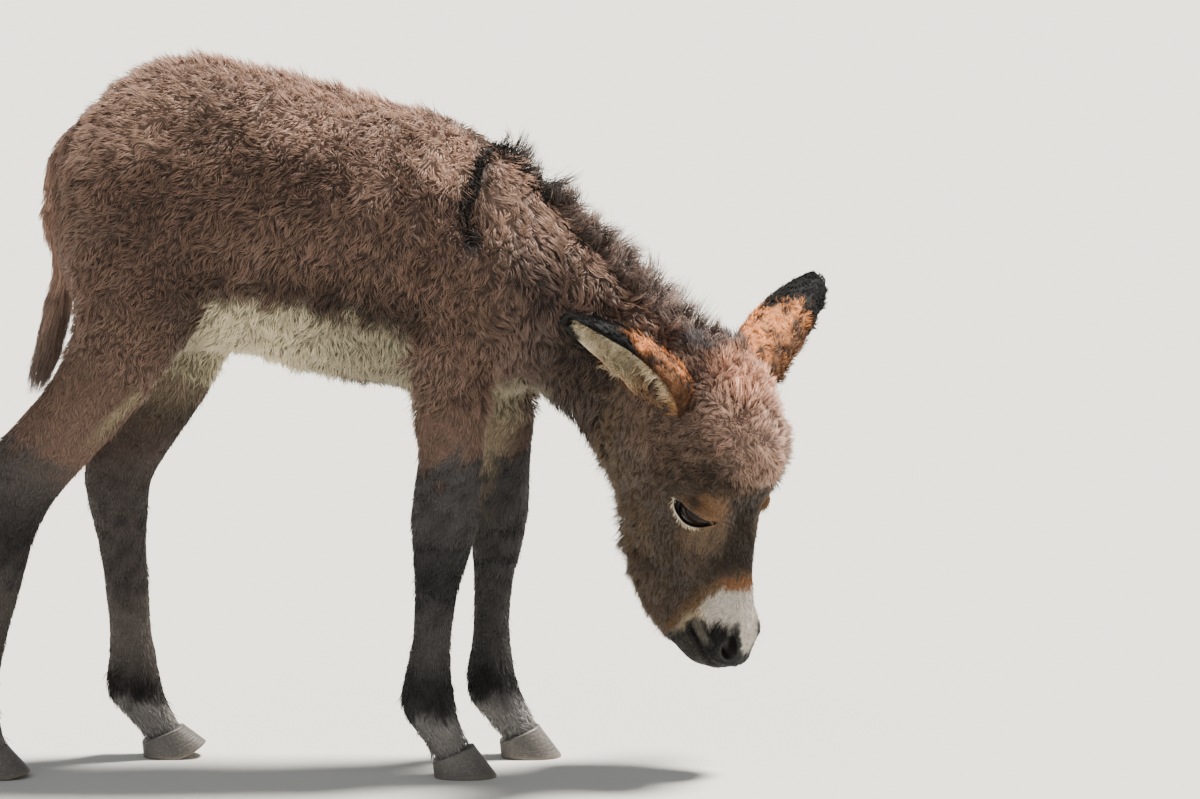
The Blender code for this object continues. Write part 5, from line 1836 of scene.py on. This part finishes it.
def horn_material(grain):
    """Grey hoof horn: pale worn rim below, growth rings and fine upright fibres, dusty."""
    material, tree, shader = start_material("hoof_horn")
    level = channels(tree, "horn")["Red"]
    fibres = place_group(tree, grain, {"Size": 0.0008, "Detail": 3.0, "Stretch": (1.0, 1.0, 0.08)})
    dust = place_group(tree, grain, {"Size": 0.0030, "Detail": 6.0, "Stretch": (1.0, 1.0, 1.0)})
    rings = calc(tree, "SINE", plus(tree, times(tree, level, 60.0), times(tree, dust["Mottle"], 3.0)))
    rings = plus(tree, times(tree, rings, 0.5), 0.5)
    worn = minus(tree, 1.0, steps_of(tree, level, 0.0, 0.22))
    dusty = steps_of(tree, dust["Height"], 0.45, 0.75)
    base = mix(tree, fibres["Height"], HORN_DARK, HORN_PALE)
    base = mix(tree, times(tree, rings, 0.15), base, HORN_RING, "MULTIPLY")
    base = mix(tree, times(tree, worn, 0.6), base, HORN_WORN)
    height = plus(tree, times(tree, fibres["Height"], 0.6), times(tree, rings, 0.2))
    feed_all(tree, shader, {
        "Base Color": mix(tree, times(tree, dusty, 0.45), base, HORN_DUST),
        "Roughness": plus(tree, 0.42, times(tree, dusty, 0.3)),
        "Normal": bumped(tree, height, 0.5, 0.0007),
    })
    return material


def clouded_material(name, dark, pale, scale, roughness):
    """A plain material between two colours, mottled by the scale."""
    material, tree, shader = start_material(name)
    cloud = add_node(tree, "ShaderNodeTexNoise", {"Scale": scale})["Fac"]
    made = mix(tree, cloud, dark, pale)
    feed_all(tree, shader, {"Base Color": made, "Roughness": roughness})
    return material


# ---------------------------------------------------------------- skin's colours
# The skin is painted darker than the coat over it: painted shade between the hairs, deepest on the neck,
# lightest on legs and face.
SKIN_SHADE = 0.43  # the skin's brightness under the coat, as a share of the coat's
LEG_SKIN_SHADE = 0.75


def paint_skin(mesh, coat):
    """The coat's colours, darkened as painted shade under the coat, with the bare rims of eyes, nostrils and
    lips, and painted shade inside the eyes' openings and the nostrils.
    """
    local = to_head(coat.places)
    aside, _, along = local.T
    is_head = coat.part == "head"
    face, muzzle = smoothstep(0.12, 0.18, along), smoothstep(0.27, 0.31, along)
    shade = SKIN_SHADE + 0.32 * is_head * face + 0.25 * is_head * muzzle
    shade -= 0.12 * (coat.part == "neck")
    shade = np.where(np.isin(coat.part, LEGS), LEG_SKIN_SHADE, shade)
    colour = coat.colour * shade[:, None]
    bare = smoothstep(0.326, 0.336, along) * is_head
    wet = np.zeros(len(colour))
    for _, sign in SIDES:
        gap, _, _ = lid_distance(local, sign)
        near = is_head & (np.sign(aside) == sign)
        # the lids' own dark edge, and black painted as shade on the sunk skin inside the opening
        rim = smoothstep(0.0013, 0.0006, gap) * near
        colour = tint(colour, RIM_AND_HOLLOW_BLACK, rim)
        wet = np.maximum(wet, rim)
        ring = nostril_ring(local, sign)[0]
        nostril = smoothstep(1.8, 1.2, ring) * is_head
        # black painted as shade in the nostril's hollow
        colour = tint(colour, RIM_AND_HOLLOW_BLACK, 0.75 * smoothstep(1.0, 0.6, ring) * is_head)
        wet = np.maximum(wet, 0.4 * nostril)
        bare = np.maximum(bare, np.maximum(nostril, 0.6 * smoothstep(0.003, 0.001, gap) * near))
    paint(mesh, "skin_colour", colour)
    paint(mesh, "bare", np.column_stack((bare, wet, 0 * bare)))


# ---------------------------------------------------------------- lashes and whiskers
LASHES = {"Length": 0.0075, "Thickness": 0.00020, "Bend": 0.002, "Seed": 5}
WHISKERS = {"Length": 0.011, "Thickness": 0.00013, "Bend": 0.002, "Seed": 8}


def bristle_tree(name, material):
    """Geometry Nodes: tapered, bent bristles standing on points, along their headings."""
    tree = bpy.data.node_groups.new(name, "GeometryNodeTree")
    given, out = add_sockets(
        tree,
        (
            ("Geometry", "Geometry", None),
            ("Length", "Float", 0.012),
            ("Thickness", "Float", 0.0002),
            ("Bend", "Float", 0.004),
            ("Seed", "Int", 3),
        ),
        (("Geometry", "Geometry"),),
    )

    def add(kind, inputs=None, **settings):
        return add_node(tree, kind, inputs, **settings)

    halfway = add("ShaderNodeCombineXYZ", {"Z": times(tree, given["Length"], 0.55)})[0]
    tip = add("ShaderNodeCombineXYZ", {"X": given["Bend"], "Z": given["Length"]})[0]
    inputs = {"Resolution": 6, "Start": (0, 0, 0), "Middle": halfway, "End": tip}
    arc = add("GeometryNodeCurveQuadraticBezier", inputs)[0]
    factor = add("GeometryNodeSplineParameter")["Factor"]
    taper = add("ShaderNodeMapRange", {"To Min": 1.0, "To Max": 0.15, "Value": factor})["Result"]
    circle = add("GeometryNodeCurvePrimitiveCircle", {"Resolution": 5, "Radius": given["Thickness"]})[0]
    inputs = {"Fill Caps": True, "Curve": arc, "Profile Curve": circle, "Scale": taper}
    tube = add("GeometryNodeCurveToMesh", inputs)[0]
    heading = add("GeometryNodeInputNamedAttribute", {"Name": "heading"}, data_type="FLOAT_VECTOR")[0]
    turned = add("FunctionNodeAlignRotationToVector", {"Vector": heading}, axis="Z")["Rotation"]
    inputs = {"Min": 0.7, "Max": 1.15, "Seed": given["Seed"]}
    size = add("FunctionNodeRandomValue", inputs, data_type="FLOAT")[1]
    inputs = {"Points": given["Geometry"], "Instance": tube, "Rotation": turned, "Scale": size}
    stand = add("GeometryNodeInstanceOnPoints", inputs)[0]
    real = add("GeometryNodeRealizeInstances", {0: stand})[0]
    feed(tree, out["Geometry"], add("GeometryNodeSetMaterial", {"Geometry": real, "Material": material})[0])
    return tree


def bristles(name, seats, tree, material, values):
    """A plain mesh of bristles that stand on the seats' places and point along their headings."""
    places, headings = seats
    centres = bpy.data.meshes.new(name)
    centres.vertices.add(len(places))
    write(centres.vertices, "co", places)
    write(centres.attributes.new("heading", "FLOAT_VECTOR", "POINT").data, "vector", headings)
    holder = show(name, centres)
    step = holder.modifiers.new("bristles", "NODES")
    step.node_group = tree
    for item in tree.interface.items_tree:
        if item.in_out == "INPUT" and item.name in values:
            step[item.identifier] = values[item.name]
    mesh = baked_mesh(holder)
    mesh.materials.clear()
    mesh.shade_smooth()
    finished_piece(name, mesh, material, "mane_coat")


def lash_seats(sign):
    """Places and directions of the lashes on the upper lid's edge."""
    centre, slit, up, out = eye_axes(sign)
    places, headings = [], []
    for u in np.linspace(-0.85, 0.9, 30) * SLIT_HALF:
        v = float(lid_edges(np.array(u))[1]) + 0.0006
        height = math.sqrt(max((EYE_RADIUS + LID_THICKNESS) ** 2 - u * u - v * v, 0)) - 0.0008
        places.append(centre + slit * u + up * v + out * height)
        fan = u / SLIT_HALF
        headings.append(out * 0.75 - up * 0.35 + slit * 0.45 * fan + RANDOM.normal(0, 0.05, 3))
    return from_head(places), np.array(headings) @ HEAD_TURN.T


def whisker_seats(skin_tree):
    """Places and directions of the feelers on lips, chin and nostrils."""
    places, headings = [], []
    for _ in range(80):
        turn = RANDOM.uniform(-2.9, 2.9)
        along = RANDOM.uniform(0.290, 0.332)
        way = np.array((math.sin(turn), math.cos(turn), RANDOM.uniform(0.1, 0.7)))
        start = from_head(np.array((0, -0.008, along - 0.01)))
        hit = skin_tree.ray_cast(Vector(start), Vector(way @ HEAD_TURN.T))
        if hit[0] is not None:
            places.append(np.array(hit[0]))
            headings.append(np.array(hit[1]) + (way @ HEAD_TURN.T) * 0.6 + RANDOM.normal(0, 0.15, 3))
    return np.array(places), np.array(headings)


# ---------------------------------------------------------------- camera, floor, light
AIM = (0.235, 0.0241, 0.41376)
CAMERA_DISTANCE = 6.0
CAMERA_HEIGHT = math.radians(7)
CAMERA_LENS = 162


def set_camera():
    data = bpy.data.cameras.new("camera")
    data.lens = CAMERA_LENS
    data.sensor_width = 36
    data.clip_end = 100
    camera = show("camera", data)
    back, up = CAMERA_DISTANCE * math.cos(CAMERA_HEIGHT), CAMERA_DISTANCE * math.sin(CAMERA_HEIGHT)
    camera.location = (AIM[0], AIM[1] - back, AIM[2] + up)
    camera.rotation_euler = (math.pi / 2 - CAMERA_HEIGHT, 0, 0)
    bpy.context.scene.camera = camera


def set_floor():
    mesh = bpy.data.meshes.new("floor")
    with edited(mesh) as shape:
        bmesh.ops.create_circle(shape, cap_ends=True, segments=96, radius=40)
    mesh.materials.append(clouded_material("floor", FLOOR_DARK, FLOOR_PALE, 1.5, 0.9))
    show("floor", mesh)


def add_sun(name, way, spread, strength, colour):
    """A soft light from far away; the way points towards it and the spread is in degrees."""
    data = bpy.data.lights.new(name, "SUN")
    data.angle = math.radians(spread)
    data.energy = strength
    data.color = colour
    light = show(name, data)
    light.rotation_euler = Vector(way).to_track_quat("Z", "Y").to_euler()


def set_lights():
    add_sun("key", (0.34, 0.16, 1.0), spread=12, strength=13.5, colour=(1.0, 0.95, 0.88))
    add_sun("fill", (-0.5, -1.0, 0.75), spread=60, strength=0.50, colour=(0.95, 0.97, 1.0))
    world = bpy.data.worlds.new("studio")
    world.use_nodes = True
    back = world.node_tree.nodes["Background"]
    back.inputs["Color"].default_value = (0.90, 0.93, 0.96, 1)
    back.inputs["Strength"].default_value = 0.38
    bpy.context.scene.world = world


# ---------------------------------------------------------------- putting it together
def main():
    set_camera()
    set_floor()
    set_lights()
    tone, grain = hair_tone_group(), fine_grain_group()
    hair = {name: hair_material(name, tone) for name in HAIR_LOOKS}
    skin_look, eye_look, horn_look = skin_material(grain), eye_material(), horn_material(grain)

    skin_mesh = make_skin()
    coat = Coat(skin_mesh)
    paint_skin(skin_mesh, coat)
    finished_piece("skin", skin_mesh, skin_look, "body_coat", *FLESH)
    for word, sign in SIDES:
        make_eye(sign, word, eye_look)
        make_ear(sign, word, skin_look)
        ear_coat(sign, word, hair["ear_fur"])
    for name in HOOVES:
        make_hoof(name, horn_look)
    grow_all(coat, hair)

    dark = clouded_material("bristle_dark", BRISTLE_DARK * 0.6, BRISTLE_DARK * 1.6, 300.0, 0.45)
    tree = bristle_tree("bristle", dark)
    for word, sign in SIDES:
        bristles("lashes_" + word, lash_seats(sign), tree, dark, LASHES)
    bristles("whiskers", whisker_seats(coat.tree), tree, dark, WHISKERS)


def eye_clearance(places):
    """0 on the eyes' openings and in the nostrils, 1 away from them."""
    local = to_head(places)
    clear = np.ones(len(places))
    for _, sign in SIDES:
        gap, _, _ = lid_distance(local, sign)
        ring = nostril_ring(local, sign)[0]
        clear = np.minimum(clear, smoothstep(0.0008, 0.0020, gap) * smoothstep(1.0, 1.3, ring))
    return clear


def with_jaw_hair(root):
    """The roots with longer hair, standing further out, along the jaw's hind edge."""
    jaw = smoothstep(-0.045, -0.075, to_head(root["place"])[:, 1])
    root["length"] = root["length"] * (1 + 0.22 * jaw)
    root["lift"] = root["lift"] + 0.10 * jaw
    return root


# Tufts per square metre of skin, width, curl, how far a lock closes, size of a lock.
TUFTS = {
    "coat_body": (170000, 0.00054, 0.30, 0.50, 0.0062),
    "coat_neck": (180000, 0.00050, 0.36, 0.80, 0.0100),
    "coat_crown": (400000, 0.00038, 0.55, 0.60, 0.0050),
    "coat_forelock": (170000, 0.00050, 0.45, 0.70, 0.0100),
    "coat_face": (380000, 0.00034, 0.20, 0.50, 0.0060),
    "coat_legs": (132000, 0.00046, 0.15, 0.45, 0.0060),
}
MUZZLE_DENSER = 400000
MUZZLE_FINER = 0.00011
CROWN_HAIR = 0.0128  # from this length on, hair on the head is the crown's
FORELOCK_LENGTH = 0.026
FORELOCK_LIFT = math.radians(42)


def as_forelock(root):
    """The roots with long raised hair, dark between the ears."""
    rooted = to_head(root["place"])
    root["length"] = FORELOCK_LENGTH * RANDOM.uniform(0.7, 1.1, len(root["length"]))
    root["lift"] = np.full(len(root["lift"]), FORELOCK_LIFT)
    dark = 0.9 * smoothstep(0.055, 0.020, rooted[:, 2]) * smoothstep(0.048, 0.028, rooted[:, 1])
    root["colour"] = tint(root["colour"], TOPKNOT, dark)
    return root


def muzzle_share(along):
    return smoothstep(0.265, 0.300, along)


def grow_all(coat, hair):
    """The whole coat, piece by piece, in the order of the random draws."""
    part, places = coat.part, coat.places
    aside, forward, along = to_head(places).T
    is_head = part == "head"
    body = np.isin(part, ("trunk", "neck", "tail")).astype(float)
    woolly = smoothstep(0.055, 0.115, places[:, 0]) * smoothstep(0.42, 0.50, places[:, 2])
    crown = is_head & (coat.length > CROWN_HAIR)
    clear = np.where(is_head, eye_clearance(places), 1.0)
    forelock = is_head & (along < 0.050) & (np.abs(aside) < 0.034) & (forward > -0.02)
    where = {
        "coat_body": body * (1 - woolly),
        "coat_neck": body * woolly,
        "coat_crown": crown * clear,
        "coat_forelock": forelock.astype(float),
        "coat_face": (is_head & ~crown) * clear,
        "coat_legs": np.isin(part, LEGS).astype(float),
    }
    styles = {"coat_crown": with_jaw_hair, "coat_forelock": as_forelock, "coat_face": with_jaw_hair}
    slots = {"coat_forelock": "mane_coat", "coat_legs": "leg_coat"}
    for name, (density, width, curl, clump, lock_size) in TUFTS.items():
        if name == "coat_face":
            density = density + MUZZLE_DENSER * muzzle_share(along)
        root = coat.roots(density, where[name])
        if name in styles:
            root = styles[name](root)
        if name == "coat_face":
            width = width - MUZZLE_FINER * muzzle_share(to_head(root["place"])[:, 2])
        slot = slots.get(name, "body_coat")
        steps = 3 if name == "coat_forelock" else 2
        grow_coat(name, coat, root, slot, hair[slot], width, curl, clump, lock_size, steps)
    tail_coat(hair["mane_coat"])
    mane_coat(coat, hair["mane_coat"])


main()
